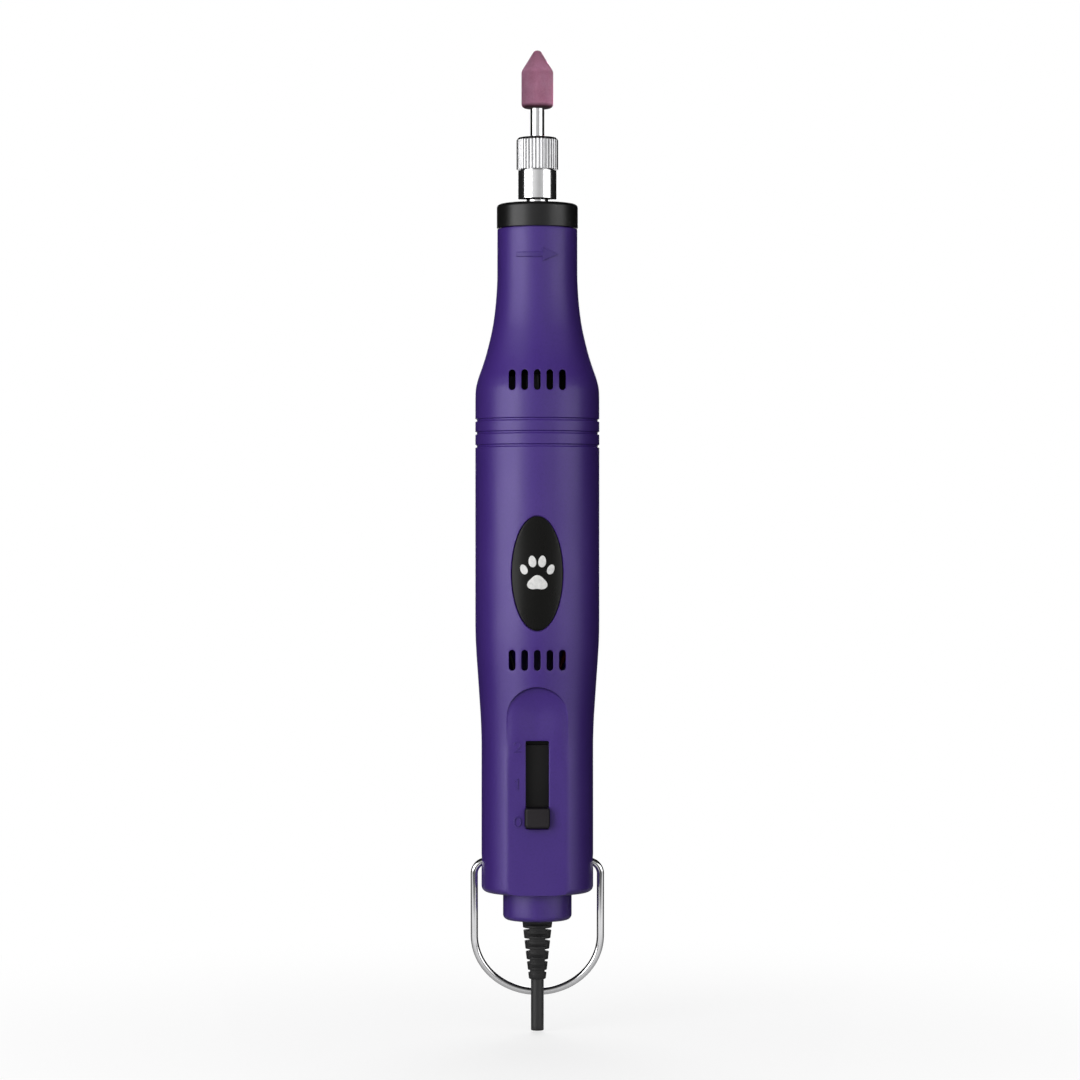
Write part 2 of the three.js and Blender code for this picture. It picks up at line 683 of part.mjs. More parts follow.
function switchSlider() {
  // [x, y], with rounded front edges
  const knobOutline = [
    [-KNOB_HALF, KNOB_Y[1]], [-KNOB_HALF, -12.6], [-2.6, -13.0], [-2.25, KNOB_Y[0]],
    [2.25, KNOB_Y[0]], [2.6, -13.0], [KNOB_HALF, -12.6], [KNOB_HALF, KNOB_Y[1]],
  ];
  const knob = block(span(KNOB_HALF), KNOB_Y, [46.45, 51.15]).intersect(
    prism(knobOutline, [46, 52]),
  );
  const neck = block(span(2.38), [-10.9, -8.4], [46.65, 50.95]);
  const plate = block(span(3.6), [-8.55, -7.55], [33.5, 64.9]);
  const finger = block(span(0.8), [-7.6, -5.3], [48.0, 49.6]);
  return addAll(knob, [neck, plate, finger]);
}
put(switchGroup, "switch_slider", switchSlider(), "black");

const contact = block(span(0.9), [-5.2, -4.85], [47.5, 50.1]);
put(switchGroup, "switch_contact", contact, "brass");

const switchBody = block(span(3.4), [-7.2, -2.6], [46.0, 66.4]).subtract(
  block(span(1.1), [-8, -4.6], [47.2, 64.8]),
);
put(housing, "switch_body", switchBody, "black");
put(housing, "circuit_board", block(span(5.2), [-2.4, -1.0], [41.5, 70.0]), "board");
put(housing, "speed_resistor", block(span(2.5), [-0.8, 4.2], [48.5, 64.5]), "white");

// ---------------------------------------------------------------- wires
const WIRE_R = 0.5;
// [x, y, z] from the lower end up, for the right side
const SUPPLY_PATH = [
  [0.75, 0, 33.3], [1.0, 0.3, 36], [2.4, 0.5, 39.5], [3.6, -0.2, 43], [3.8, -0.3, 46],
];
const MOTOR_PATH = [
  [3.8, -0.3, 66], [3.8, 0.8, 72], [5.0, 2.4, 81], [7.4, 1.6, 88], [8.0, 0.2, 93],
  [8.0, 0, 95.6],
];

function wire(path, side, steps) {
  const points = path.map(([x, y, z]) => new THREE.Vector3(side * x, y, z));
  return wireAlong(new THREE.CatmullRomCurve3(points), WIRE_R, steps, 6);
}

for (const [color, side] of [["black", -1], ["red", 1]]) {
  put(housing, `supply_wire_${color}`, wire(SUPPLY_PATH, side, 12), color);
  put(housing, `motor_wire_${color}`, wire(MOTOR_PATH, side, 16), color);
}

// ---------------------------------------------------------------- strain relief and cord
const RELIEF_BORE_R = CORD_R + 0.08;
const RELIEF_R = 3.42;
const RELIEF_TOP = 24.8; // top of the tapered sleeve
const RELIEF_END = 11.6;
const FLANGE_R = 5.2;
const FLANGE_Z = [27.1, 29.0];
const SLIT_PITCH = 2.38;
const SLIT_REACH = 5; // beyond the sleeve's skin

// Tapered sleeve with slits by turns at the sides and at the front and back.
function strainRelief() {
  let relief = turned(
    [
      [RELIEF_BORE_R, RELIEF_END], [1.9, RELIEF_END], [RELIEF_R, RELIEF_TOP],
      [RELIEF_R, FLANGE_Z[0]], [FLANGE_R, FLANGE_Z[0]], [FLANGE_R, FLANGE_Z[1]],
      [RELIEF_BORE_R, FLANGE_Z[1]],
    ],
    16,
  );
  const across = span(SLIT_REACH);
  for (let k = 0; k < 5; k++) {
    const sideSlitZ = span(0.3, 22.9 - SLIT_PITCH * k);
    const frontSlitZ = span(0.28, 24.05 - SLIT_PITCH * k);
    const keep = 1.62 + 0.05 * (4 - k); // distance from the axis left uncut
    for (const side of [-1, 1]) {
      const reach = sided(side, keep, SLIT_REACH);
      relief = relief
        .subtract(block(reach, across, sideSlitZ))
        .subtract(block(across, reach, frontSlitZ));
    }
  }
  return relief;
}
put(housing, "strain_relief", strainRelief(), "rubber");

const cord = turned([[0, 0], [CORD_R, 0], [CORD_R, 33.0], [0, 33.0]], 20);
put(housing, "cord", cord, "rubber");

// ---------------------------------------------------------------- hanging bail
const BAIL_R = 0.82; // wire radius
const BAIL_HALF = 14.25; // from the axis to the wire's centre line
const BAIL_CORNER = 2.95;
const BAIL_STRAIGHT_Z = 21.1; // where the straight sides meet the rounded end
const BAIL_END = 12.85; // depth of the rounded end
const BAIL_TILT = THREE.MathUtils.degToRad(5.5); // leans back behind the cord
const BAIL_PIN = 9.4; // inner end of each pivot pin

// The wire's centre line about the pivot, from the right pin round to the left one.
function bailLine() {
  const half = []; // [x, z]
  const cornerX = BAIL_HALF - BAIL_CORNER;
  for (const part of [0, 0.5]) half.push([BAIL_PIN + part * (cornerX - BAIL_PIN), 0]);
  for (let i = 0; i <= 6; i++) {
    const angle = (Math.PI / 2) * (1 - i / 6);
    half.push([
      cornerX + BAIL_CORNER * Math.cos(angle),
      -BAIL_CORNER + BAIL_CORNER * Math.sin(angle),
    ]);
  }
  const straightEnd = BAIL_STRAIGHT_Z - BAIL_Z;
  for (const part of [0.33, 0.66]) {
    half.push([BAIL_HALF, -BAIL_CORNER + part * (straightEnd + BAIL_CORNER)]);
  }
  for (let i = 0; i < 9; i++) {
    const angle = (Math.PI / 2) * (i / 9);
    half.push([BAIL_HALF * Math.cos(angle), straightEnd - BAIL_END * Math.sin(angle)]);
  }
  const mirrored = half.map(([x, z]) => [-x, z]).reverse();
  return [...half, [0, straightEnd - BAIL_END], ...mirrored].map(
    ([x, z]) => new THREE.Vector3(x, 0, z),
  );
}

// A curve whose sweep steps fall on the given points, however far apart they are.
class PointPath extends THREE.Curve {
  constructor(points) {
    super();
    this.points = points;
    this.last = points.length - 1;
  }
  getPointAt(part, target = new THREE.Vector3()) {
    const place = Math.min(part * this.last, this.last - 1e-9);
    const i = Math.floor(place);
    return target.copy(this.points[i]).lerp(this.points[i + 1], place - i);
  }
  getTangentAt(part, target = new THREE.Vector3()) {
    const i = Math.round(part * this.last);
    const before = this.points[Math.max(0, i - 1)];
    const after = this.points[Math.min(this.last, i + 1)];
    return target.copy(after).sub(before).normalize();
  }
}

const bailPath = new PointPath(bailLine());
const bail = put(bailGroup, "bail", wireAlong(bailPath, BAIL_R, bailPath.last, 8), "chrome");
bail.rotation.x = BAIL_TILT;
bailGroup.position.z = BAIL_Z;

export default grinder;
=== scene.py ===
# Electric nail grinder: skins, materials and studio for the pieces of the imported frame.
# It stands upright on its cord: the axis is Z, the stone is at the top, the switch and
# badge face the front (-Y) and +X is on the right seen from there.
# Shapes are written in millimetres and put() turns them into metres.
import json
from math import acos, asin, atan2, ceil, cos, dist, exp, hypot, pi, radians, sin, sqrt, tan

import bpy
import bmesh
import numpy as np
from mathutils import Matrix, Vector, geometry, noise

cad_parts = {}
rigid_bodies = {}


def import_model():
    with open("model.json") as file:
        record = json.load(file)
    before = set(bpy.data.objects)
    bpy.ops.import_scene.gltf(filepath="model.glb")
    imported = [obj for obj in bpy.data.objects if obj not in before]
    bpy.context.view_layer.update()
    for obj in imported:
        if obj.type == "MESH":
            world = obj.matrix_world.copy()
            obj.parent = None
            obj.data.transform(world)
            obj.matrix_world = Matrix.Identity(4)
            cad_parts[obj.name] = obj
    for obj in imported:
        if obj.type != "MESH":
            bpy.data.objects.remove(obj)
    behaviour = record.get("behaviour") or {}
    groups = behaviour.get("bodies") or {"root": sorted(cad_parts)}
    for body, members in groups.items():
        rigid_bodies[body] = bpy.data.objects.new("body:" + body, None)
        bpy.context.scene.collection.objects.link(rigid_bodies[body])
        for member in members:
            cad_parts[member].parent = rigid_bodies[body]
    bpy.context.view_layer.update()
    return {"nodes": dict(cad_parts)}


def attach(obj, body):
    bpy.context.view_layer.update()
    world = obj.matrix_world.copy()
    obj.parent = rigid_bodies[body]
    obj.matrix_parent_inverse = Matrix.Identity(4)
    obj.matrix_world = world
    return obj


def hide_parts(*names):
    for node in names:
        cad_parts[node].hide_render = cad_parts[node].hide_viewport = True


for old in list(bpy.data.objects):
    bpy.data.objects.remove(old)
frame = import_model()
scene = bpy.context.scene

# ---------------------------------------------------------------- sizes, mm
MM = 0.001
TAU = 2 * pi
MAIN_R, REAR_R, NECK_R, BOSS_R = 14.0, 12.6, 9.03, 7.75  # outer radii of the housing
WALL = 1.9
BORE_R = 7.15  # inside the neck
SEAM = 0.05  # gap from the joint plane to each half
SEAM_ROUND = 0.22

PANEL_Y = 10.55  # flat front panel, distance in front of the axis
PANEL_BACK = PANEL_Y - WALL
PANEL_HALF = 6.88
PANEL_ARCH_Z = 71.1  # centre of the panel's round top
SCOOP_WIDTH = 8.5  # how far the scoop under the arch runs into the panel
SLOT_HALF, SLOT_BOTTOM, SLOT_TOP = 2.58, 46.15, 65.85

BADGE_Z, BADGE_HALF_X, BADGE_HALF_Z = 103.2, 5.7, 12.72
BADGE_SURFACE_R = 13.96
BADGE_GAP = 0.16
KNOB_HALF_X, KNOB_BOTTOM, KNOB_TOP = 2.85, 46.45, 51.15

BAIL_Z = 38.25
BAIL_NOTCH_R = 1.62
SCREWS = [(x, z) for z in (47.0, 74.0) for x in (-7.6, 7.6)]
SCREW_TOP, SCREW_SEAT = 7.5, 5.6
COUNTERBORE_R, SCREW_BORE_R, SCREW_BOSS_R = 2.15, 1.3, 2.9

FRONT_VENT_ROWS, REAR_VENT_ROWS = (83.9, 146.3), (91.0, 144.6)
VENT_PITCH, VENT_WIDTH, VENT_HEIGHT = 2.8, 1.47, 4.64
GROOVES = (131.75, 134.7, 137.6)


# ---------------------------------------------------------------- node writing
def srgb(*rgb):
    """Linear colour from 0..255 values."""
    def linear(value):
        value /= 255.0
        return value / 12.92 if value <= 0.04045 else ((value + 0.055) / 1.055) ** 2.4

    return (*map(linear, rgb), 1.0)


class NodeWriter:
    """Adds nodes to a tree. A value may be a number, a tuple or a socket to link."""

    def __init__(self, tree):
        self.tree = tree
        self.place = self.add("ShaderNodeTexCoord").outputs

    def add(self, kind, inputs=None, **properties):
        node = self.tree.nodes.new(kind)
        for key, value in properties.items():
            setattr(node, key, value)
        for key, value in (inputs or {}).items():
            self.fill(node.inputs[key], value)
        return node

    def fill(self, socket, value):
        if isinstance(value, (int, float, tuple)):
            socket.default_value = value
        else:
            self.tree.links.new(value, socket)

    def axes(self, vector=None):
        vector = vector or self.place["Object"]
        return tuple(self.add("ShaderNodeSeparateXYZ", {0: vector}).outputs)

    def maths(self, operation, first, second=None):
        inputs = {0: first} if second is None else {0: first, 1: second}
        return self.add("ShaderNodeMath", inputs, operation=operation).outputs[0]

    def remap(self, value, source=(0.0, 1.0), result=(0.0, 1.0), smooth=False):
        inputs = {"Value": value, "From Min": source[0], "From Max": source[1],
                  "To Min": result[0], "To Max": result[1]}
        kind = "SMOOTHSTEP" if smooth else "LINEAR"
        return self.add("ShaderNodeMapRange", inputs, interpolation_type=kind).outputs["Result"]

    def mix(self, factor, first, second):
        inputs = {0: factor, 6: first, 7: second}
        return self.add("ShaderNodeMix", inputs, data_type="RGBA").outputs[2]

    def grey_ramp(self, value, stops, interpolation="LINEAR"):
        """stops: (position, grey level), at least two."""
        node = self.add("ShaderNodeValToRGB", {"Fac": value})
        node.color_ramp.interpolation = interpolation
        elements = node.color_ramp.elements
        ends = (elements[0], elements[1])
        for element, (position, level) in zip(ends, (stops[0], stops[-1])):
            element.position = position
            element.color = (level, level, level, 1)
        for position, level in stops[1:-1]:
            elements.new(position).color = (level, level, level, 1)
        return node.outputs["Color"]


class Surface(NodeWriter):
    """Writer for a new Principled material in object coordinates."""

    def __init__(self, name):
        self.material = bpy.data.materials.new(name)
        self.material.use_nodes = True
        super().__init__(self.material.node_tree)

    def noise(self, scale, detail=3.0, rough=0.55, stretch_z=1.0):
        mapping = self.add("ShaderNodeMapping",
                           {"Scale": (1.0, 1.0, stretch_z), "Vector": self.place["Object"]})
        inputs = {"Scale": scale, "Detail": detail, "Roughness": rough,
                  "Vector": mapping.outputs["Vector"]}
        return self.add("ShaderNodeTexNoise", inputs).outputs["Fac"]

    def cells(self, scale, randomness=1.0):
        inputs = {"Scale": scale, "Randomness": randomness, "Vector": self.place["Object"]}
        return self.add("ShaderNodeTexVoronoi", inputs, feature="F1").outputs["Distance"]

    def bands(self, scale, distortion):
        inputs = {"Scale": scale, "Distortion": distortion, "Vector": self.place["Object"]}
        wave = self.add("ShaderNodeTexWave", inputs, bands_direction="Z", wave_profile="SIN")
        return wave.outputs["Fac"]

    def bump(self, height, strength, depth_mm, normal=None):
        inputs = {"Strength": strength, "Distance": depth_mm * MM, "Height": height}
        if normal is not None:
            inputs["Normal"] = normal
        return self.add("ShaderNodeBump", inputs).outputs["Normal"]

    def finish(self, **values):
        """Fills the Principled inputs, underscores standing for spaces."""
        shader = self.tree.nodes["Principled BSDF"]
        for key, value in values.items():
            self.fill(shader.inputs[key.replace("_", " ")], value)
        return self.material


# ---------------------------------------------------------------- materials
def moulded(name, base, light, rough, grain_mm, bump_mm, specular=0.5):
    """Moulded plastic: eroded grain, slow tone drift, fine handling marks in the gloss."""
    m = Surface(name)
    drift = m.noise(scale=55.0, detail=2.0)
    fleck = m.noise(scale=2200.0, detail=2.0)
    colour = m.mix(m.remap(drift, (0.3, 0.7)), srgb(*base), srgb(*light))
    colour = m.mix(m.remap(fleck, (0.45, 0.75), (0.0, 0.10)), colour, (0.0, 0.0, 0.0, 1.0))
    smear = m.noise(scale=160.0, detail=4.0, rough=0.6, stretch_z=0.35)
    grain = m.noise(scale=1000.0 / grain_mm, detail=3.0, rough=0.6)
    scratches = m.noise(scale=420.0, detail=6.0, rough=0.7, stretch_z=0.06)
    normal = m.bump(scratches, strength=0.05, depth_mm=0.02)
    return m.finish(
        Base_Color=colour,
        Roughness=m.remap(smear, (0.3, 0.7), (rough - 0.03, rough + 0.05)),
        Normal=m.bump(grain, strength=0.55, depth_mm=bump_mm, normal=normal),
        Coat_Roughness=0.2,
        Specular_IOR_Level=specular,
    )


def metal(name, base, worn, rough, stretch_z, scale, bump_mm, spread):
    """Metal with machining or draw marks."""
    m = Surface(name)
    marks = m.noise(scale=scale, detail=4.0, rough=0.65, stretch_z=stretch_z)
    blotch = m.noise(scale=130.0, detail=3.0, rough=0.6)
    both = m.maths("MULTIPLY", marks, blotch)
    return m.finish(
        Base_Color=m.mix(m.remap(blotch, (0.4, 0.72)), (*base, 1), (*worn, 1)),
        Metallic=1.0,
        Roughness=m.remap(both, (0.15, 0.4), (rough - spread, rough + spread)),
        Normal=m.bump(marks, strength=0.35, depth_mm=bump_mm),
    )


def mottled(name, base, patch, scale, detail, patches, rough, bump, bump_mm, metallic=0.0):
    """Two tones, gloss and relief from one fine noise."""
    m = Surface(name)
    speck = m.noise(scale, detail)
    return m.finish(
        Base_Color=m.mix(m.remap(speck, patches), srgb(*base), srgb(*patch)),
        Roughness=m.remap(speck, result=rough),
        Metallic=metallic,
        Normal=m.bump(speck, bump, bump_mm),
    )


def banded(name, low, high, scale, distortion, rough, bump, bump_mm, coat=0.0):
    """Metal layered in fine bands along Z."""
    m = Surface(name)
    band = m.bands(scale, distortion)
    return m.finish(
        Base_Color=m.mix(band, (*low, 1), (*high, 1)),
        Metallic=1.0,
        Roughness=m.remap(band, result=rough),
        Normal=m.bump(band, bump, bump_mm),
        Coat_Weight=coat,
    )


def paint_knob_rim_shade(material):
    """Painted shade: sinks the knob's colour towards black over its rounded rim, standing in for
    the dark reflections and shade there.
    """
    m = NodeWriter(material.node_tree)
    x, _, z = m.axes()
    half_z = (KNOB_TOP - KNOB_BOTTOM) / 2 * MM
    above = m.maths("SUBTRACT", z, (KNOB_TOP + KNOB_BOTTOM) / 2 * MM)
    across = m.maths("DIVIDE", m.maths("ABSOLUTE", x), KNOB_HALF_X * MM)
    along = m.maths("DIVIDE", m.maths("ABSOLUTE", above), half_z)
    # painted shade mask: 0 on the knob's face, rising to 1 over its rounded rim
    rim = m.remap(m.maths("MAXIMUM", across, along), (0.80, 0.97), smooth=True)
    colour = m.tree.nodes["Principled BSDF"].inputs["Base Color"]
    plain = colour.links[0].from_socket
    m.fill(colour, m.mix(rim, plain, srgb(7, 6, 8)))


def soft_rubber():
    m = Surface("soft_rubber")
    dust = m.noise(scale=260.0, detail=5.0, rough=0.65)
    fine = m.noise(scale=5200.0, detail=2.0)
    return m.finish(
        Base_Color=m.mix(m.remap(dust, (0.42, 0.75)), srgb(22, 22, 23), srgb(39, 38, 38)),
        Roughness=m.remap(dust, result=(0.5, 0.68)),
        Normal=m.bump(fine, strength=0.5, depth_mm=0.01),
        Specular_IOR_Level=0.4,
    )


def cord_sheath():
    m = Surface("cord_sheath")
    ripple = m.noise(scale=420.0, detail=3.0, rough=0.5, stretch_z=0.12)
    fine = m.noise(scale=3800.0, detail=2.0)
    waves = m.bump(ripple, strength=0.4, depth_mm=0.05)
    return m.finish(
        Base_Color=m.mix(m.remap(ripple, (0.35, 0.7)), srgb(24, 24, 25), srgb(37, 37, 38)),
        Roughness=m.remap(ripple, result=(0.36, 0.5)),
        Normal=m.bump(fine, strength=0.3, depth_mm=0.006, normal=waves),
    )


def grinding_stone():
    """Vitrified grit: mauve body, pale and dark grains, open pores, faint turning streaks, and
    painted shade on its underside.
    """
    m = Surface("grinding_stone")
    slow = m.noise(scale=330.0, detail=4.0, rough=0.6)
    streak = m.noise(scale=240.0, detail=5.0, rough=0.7, stretch_z=3.2)
    grain = m.cells(scale=5200.0)
    pores = m.noise(scale=3400.0, detail=4.0, rough=0.7)
    wear = m.noise(scale=900.0, detail=4.0, rough=0.7)
    height = m.axes()[2]
    body = m.mix(m.remap(slow, (0.35, 0.7)), srgb(145, 96, 120), srgb(156, 109, 133))
    worn = m.mix(wear, srgb(112, 78, 92), srgb(138, 92, 112))
    for value, source, result, tone in (
        (streak, (0.55, 0.78), (0.0, 0.55), srgb(124, 78, 99)),
        (grain, (0.0, 0.5), (0.35, 0.0), srgb(190, 148, 166)),
        (pores, (0.6, 0.72), (0.0, 0.6), srgb(98, 60, 78)),
        (height, (0.2168, 0.2212), (0.0, 0.85), worn),  # dirtier at the tip, metres
        (height, (0.2083, 0.2091), (0.95, 0.0), srgb(50, 25, 33)),  # painted shade underneath, where the stone faces down towards the nut
    ):
        body = m.mix(m.remap(value, source, result), body, tone)
    grit = m.bump(grain, strength=0.6, depth_mm=0.035)
    return m.finish(
        Base_Color=body,
        Roughness=m.remap(pores, result=(0.82, 0.97)),
        Subsurface_Weight=0.75,
        Subsurface_Radius=(0.0035, 0.0028, 0.0030),
        Subsurface_Scale=1.0,
        Normal=m.bump(pores, strength=0.9, depth_mm=0.05, normal=grit),
        Specular_IOR_Level=0.25,
    )


def coated_board():
    m = Surface("coated_board")
    weave = m.cells(scale=1500.0, randomness=0.15)
    return m.finish(
        Base_Color=m.mix(m.remap(weave, (0.2, 0.6)), srgb(22, 84, 48), srgb(34, 104, 62)),
        Roughness=0.32,
        Normal=m.bump(weave, strength=0.3, depth_mm=0.01),
    )


# key: name, base and lighter colour (0..255), roughness, grain mm, bump mm, specular level
OUTER_PLASTICS = {
    "purple": ("purple_plastic", (67, 41, 128), (72, 45, 133), 0.36, 0.16, 0.005, 0.46),
    # raised marks: the body's plastic made darker as painted shade, standing in for the shading
    # along their relief edges
    "mark": ("purple_relief_painted_shade", (61, 37, 120), (66, 41, 125), 0.38, 0.16, 0.005, 0.44),
    "black": ("black_plastic", (17, 17, 18), (22, 22, 22), 0.34, 0.22, 0.006, 0.5),
    # the knob's rounded rim is later sunk towards black in its colour: painted shade
    "knob": ("knob_plastic_painted_rim_shade", (36, 33, 36), (43, 40, 42), 0.50, 0.25, 0.008, 0.22),
    "plate": ("plate_plastic", (16, 15, 15), (21, 20, 20), 0.42, 0.25, 0.008, 0.28),
    "badge": ("badge_gloss", (11, 11, 9), (14, 14, 12), 0.28, 0.5, 0.002, 0.19),
}
# key: name, base and worn colour (linear), roughness, stretch of the marks along Z,
# scale of the marks, bump mm, roughness spread
METALS = {
    "chrome": ("bright_chrome", (0.86, 0.86, 0.87), (0.80, 0.80, 0.81),
               0.15, 14, 500.0, 0.0012, 0.03),
    "nut": ("nut_chrome", (0.57, 0.57, 0.58), (0.51, 0.51, 0.52), 0.29, 0.1, 420.0, 0.0002, 0.03),
    "wire": ("wire_steel", (0.84, 0.84, 0.85), (0.72, 0.72, 0.73), 0.11, 0.05, 1500.0, 0.003, 0.04),
    "shank": ("shank_steel", (0.85, 0.85, 0.86), (0.76, 0.76, 0.77), 0.14, 12, 700.0, 0.0015, 0.03),
    "steel": ("ground_steel", (0.60, 0.61, 0.62), (0.50, 0.51, 0.52), 0.26, 9, 900.0, 0.003, 0.06),
    "zinc": ("zinc_screw", (0.62, 0.63, 0.64), (0.48, 0.49, 0.50), 0.34, 1, 1400.0, 0.006, 0.1),
    "can": ("plated_can", (0.58, 0.58, 0.57), (0.47, 0.47, 0.46), 0.30, 0.08, 800.0, 0.004, 0.08),
    "aluminium": ("turned_aluminium", (0.76, 0.77, 0.78), (0.68, 0.69, 0.70),
                  0.32, 22, 420.0, 0.006, 0.05),
    "brass": ("stamped_brass", (0.78, 0.58, 0.26), (0.60, 0.42, 0.18),
              0.30, 0.2, 900.0, 0.004, 0.08),
    "bronze": ("sintered_bronze", (0.52, 0.32, 0.16), (0.36, 0.21, 0.10),
               0.50, 1, 3200.0, 0.02, 0.1),
    "ferrite": ("ferrite", (0.10, 0.10, 0.11), (0.06, 0.06, 0.065), 0.62, 1, 2400.0, 0.02, 0.08),
}


def make_materials():
    made = {key: moulded(*row) for key, row in OUTER_PLASTICS.items()}
    # painted shade on the knob's rounded rim
    paint_knob_rim_shade(made["knob"])
    made["ink"] = mottled(
        "badge_ink", base=(236, 236, 234), patch=(214, 214, 212), scale=1500.0, detail=3.0,
        patches=(0.35, 0.7), rough=(0.45, 0.6), bump=0.3, bump_mm=0.004)
    made["rubber"] = soft_rubber()
    made["cord"] = cord_sheath()
    made.update((key, metal(*row)) for key, row in METALS.items())
    made["core"] = banded(
        "laminated_core", low=(0.10, 0.10, 0.11), high=(0.30, 0.30, 0.32), scale=620.0,
        distortion=0.3, rough=(0.3, 0.55), bump=0.6, bump_mm=0.06)
    made["copper"] = banded(
        "enamelled_copper", low=(0.33, 0.11, 0.045), high=(0.78, 0.36, 0.17), scale=900.0,
        distortion=3.0, rough=(0.26, 0.42), bump=0.8, bump_mm=0.08, coat=0.5)
    made["stone"] = grinding_stone()
    made["fan"] = moulded("fan_plastic", base=(28, 28, 29), light=(36, 35, 35),
                          rough=0.45, grain_mm=0.3, bump_mm=0.008)
    made["board"] = coated_board()
    made["ceramic"] = mottled(
        "resistor_ceramic", base=(229, 226, 217), patch=(206, 202, 192), scale=2600.0,
        detail=4.0, patches=(0.35, 0.7), rough=(0.6, 0.8), bump=0.5, bump_mm=0.03)
    made["carbon"] = mottled(
        "pressed_carbon", base=(38, 38, 40), patch=(66, 66, 68), scale=3600.0, detail=3.0,
        patches=(0.4, 0.7), rough=(0.45, 0.7), bump=0.5, bump_mm=0.02, metallic=0.3)
    made["red"] = moulded("red_sleeve", base=(92, 9, 10), light=(106, 13, 12),
                          rough=0.5, grain_mm=0.4, bump_mm=0.004, specular=0.2)
    made["sleeve"] = moulded("black_sleeve", base=(22, 22, 22), light=(32, 32, 32),
                             rough=0.38, grain_mm=0.4, bump_mm=0.004)
    return made


MATERIALS = make_materials()
# frame slot of each material used on a new piece
SLOTS = {
    "purple": "purple_plastic", "mark": "purple_plastic", "black": "black_plastic",
    "knob": "black_plastic", "plate": "black_plastic", "badge": "badge_gloss",
    "ink": "badge_gloss", "rubber": "rubber", "cord": "rubber", "chrome": "chrome",
    "nut": "chrome", "wire": "chrome", "shank": "chrome", "steel": "steel", "zinc": "steel",
    "can": "steel", "brass": "steel", "aluminium": "aluminium", "bronze": "bronze",
    "stone": "stone", "fan": "fan_plastic",
}


# ---------------------------------------------------------------- mesh helpers
class Skin:
    """Points and faces of a piece, gathered ring by ring."""

    def __init__(self):
        self.verts, self.faces = [], []

    def add(self, points):
        start = len(self.verts)
        self.verts += [tuple(point) for point in points]
        return list(range(start, len(self.verts)))

    def bridge(self, first, second):
        """Quads between two closed rings of the same length."""
        for i in range(len(first)):
            j = (i + 1) % len(first)
            self.faces.append((first[i], first[j], second[j], second[i]))

    def join(self, rings):
        for first, second in zip(rings, rings[1:]):
            self.bridge(first, second)

    def move(self, change):
        self.verts = [change(*point) for point in self.verts]


def put(name, skin, material, body, replaces=None, slot=None, sharp_angle=32.0, weighted=True):
    """Makes the object, faces outwards. It rides on body and stands for the CAD node replaced."""
    mesh = bpy.data.meshes.new(name)
    verts = [tuple(c * MM for c in point) for point in skin.verts]
    mesh.from_pydata(verts, [], [tuple(int(i) for i in face) for face in skin.faces])
    bm = bmesh.new()
    bm.from_mesh(mesh)
    bmesh.ops.remove_doubles(bm, verts=bm.verts, dist=2e-7)
    bmesh.ops.dissolve_degenerate(bm, edges=bm.edges, dist=1e-8)
    bmesh.ops.recalc_face_normals(bm, faces=bm.faces)
    if bm.calc_volume(signed=True) < 0:
        bmesh.ops.reverse_faces(bm, faces=bm.faces)
    bm.to_mesh(mesh)
    bm.free()
    shade_smooth(mesh, sharp_angle)
    mesh.materials.append(MATERIALS[material])
    piece = bpy.data.objects.new(name, mesh)
    scene.collection.objects.link(piece)
    if weighted:
        modifier = piece.modifiers.new("normals", "WEIGHTED_NORMAL")
        modifier.keep_sharp = True
        modifier.weight = 60
    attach(piece, body)
    if replaces:
        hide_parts(replaces)
    slot or SLOTS[material]
    return piece


def shade_smooth(mesh, sharp_angle):
    mesh.polygons.foreach_set("use_smooth", [True] * len(mesh.polygons))
    mesh.set_sharp_from_angle(angle=radians(sharp_angle))


def rounded(corners, closed=False, per_mm=9, least=4):
    """Polyline from (a, b[, radius]) corners, each radius turned into an arc."""
    line = []
    count = len(corners)
    for i, corner in enumerate(corners):
        radius = corner[2] if len(corner) > 2 else 0.0
        if radius <= 0 or (not closed and i in (0, count - 1)):
            line.append((corner[0], corner[1]))
            continue
        here = np.array(corner[:2], float)
        back = np.array(corners[(i - 1) % count][:2], float) - here
        ahead = np.array(corners[(i + 1) % count][:2], float) - here
        back_length, ahead_length = np.linalg.norm(back), np.linalg.norm(ahead)
        back, ahead = back / back_length, ahead / ahead_length
        half = acos(max(-1, min(1, float(back @ ahead)))) / 2
        tangent = min(radius / tan(half), back_length * 0.49, ahead_length * 0.49)
        radius = tangent * tan(half)
        middle = (back + ahead) / np.linalg.norm(back + ahead)
        centre = here + middle * radius / sin(half)
        start = here + back * tangent - centre
        end = here + ahead * tangent - centre
        start_angle = atan2(start[1], start[0])
        sweep = (atan2(end[1], end[0]) - start_angle + pi) % (2 * pi) - pi
        steps = max(least, int(abs(sweep) * radius * per_mm / 1.5))
        for j in range(steps + 1):
            angle = start_angle + sweep * j / steps
            line.append((centre[0] + radius * cos(angle), centre[1] + radius * sin(angle)))
    return line


def subdivided(line, parts):
    """Open polyline, each side cut into parts(start, end) equal lengths."""
    out = []
    for start, end in zip(line, line[1:]):
        count = parts(start, end)
        for i in range(count):
            out.append((start[0] + (end[0] - start[0]) * i / count,
                        start[1] + (end[1] - start[1]) * i / count))
    return out + [line[-1]]


def divided(outline, step):
    """Closed outline with its long sides divided."""
    closed = outline + outline[:1]
    return np.array(subdivided(closed, lambda a, b: max(1, int(dist(a, b) / step)))[:-1])


def circle_angles(count):
    return np.arange(count) * TAU / count


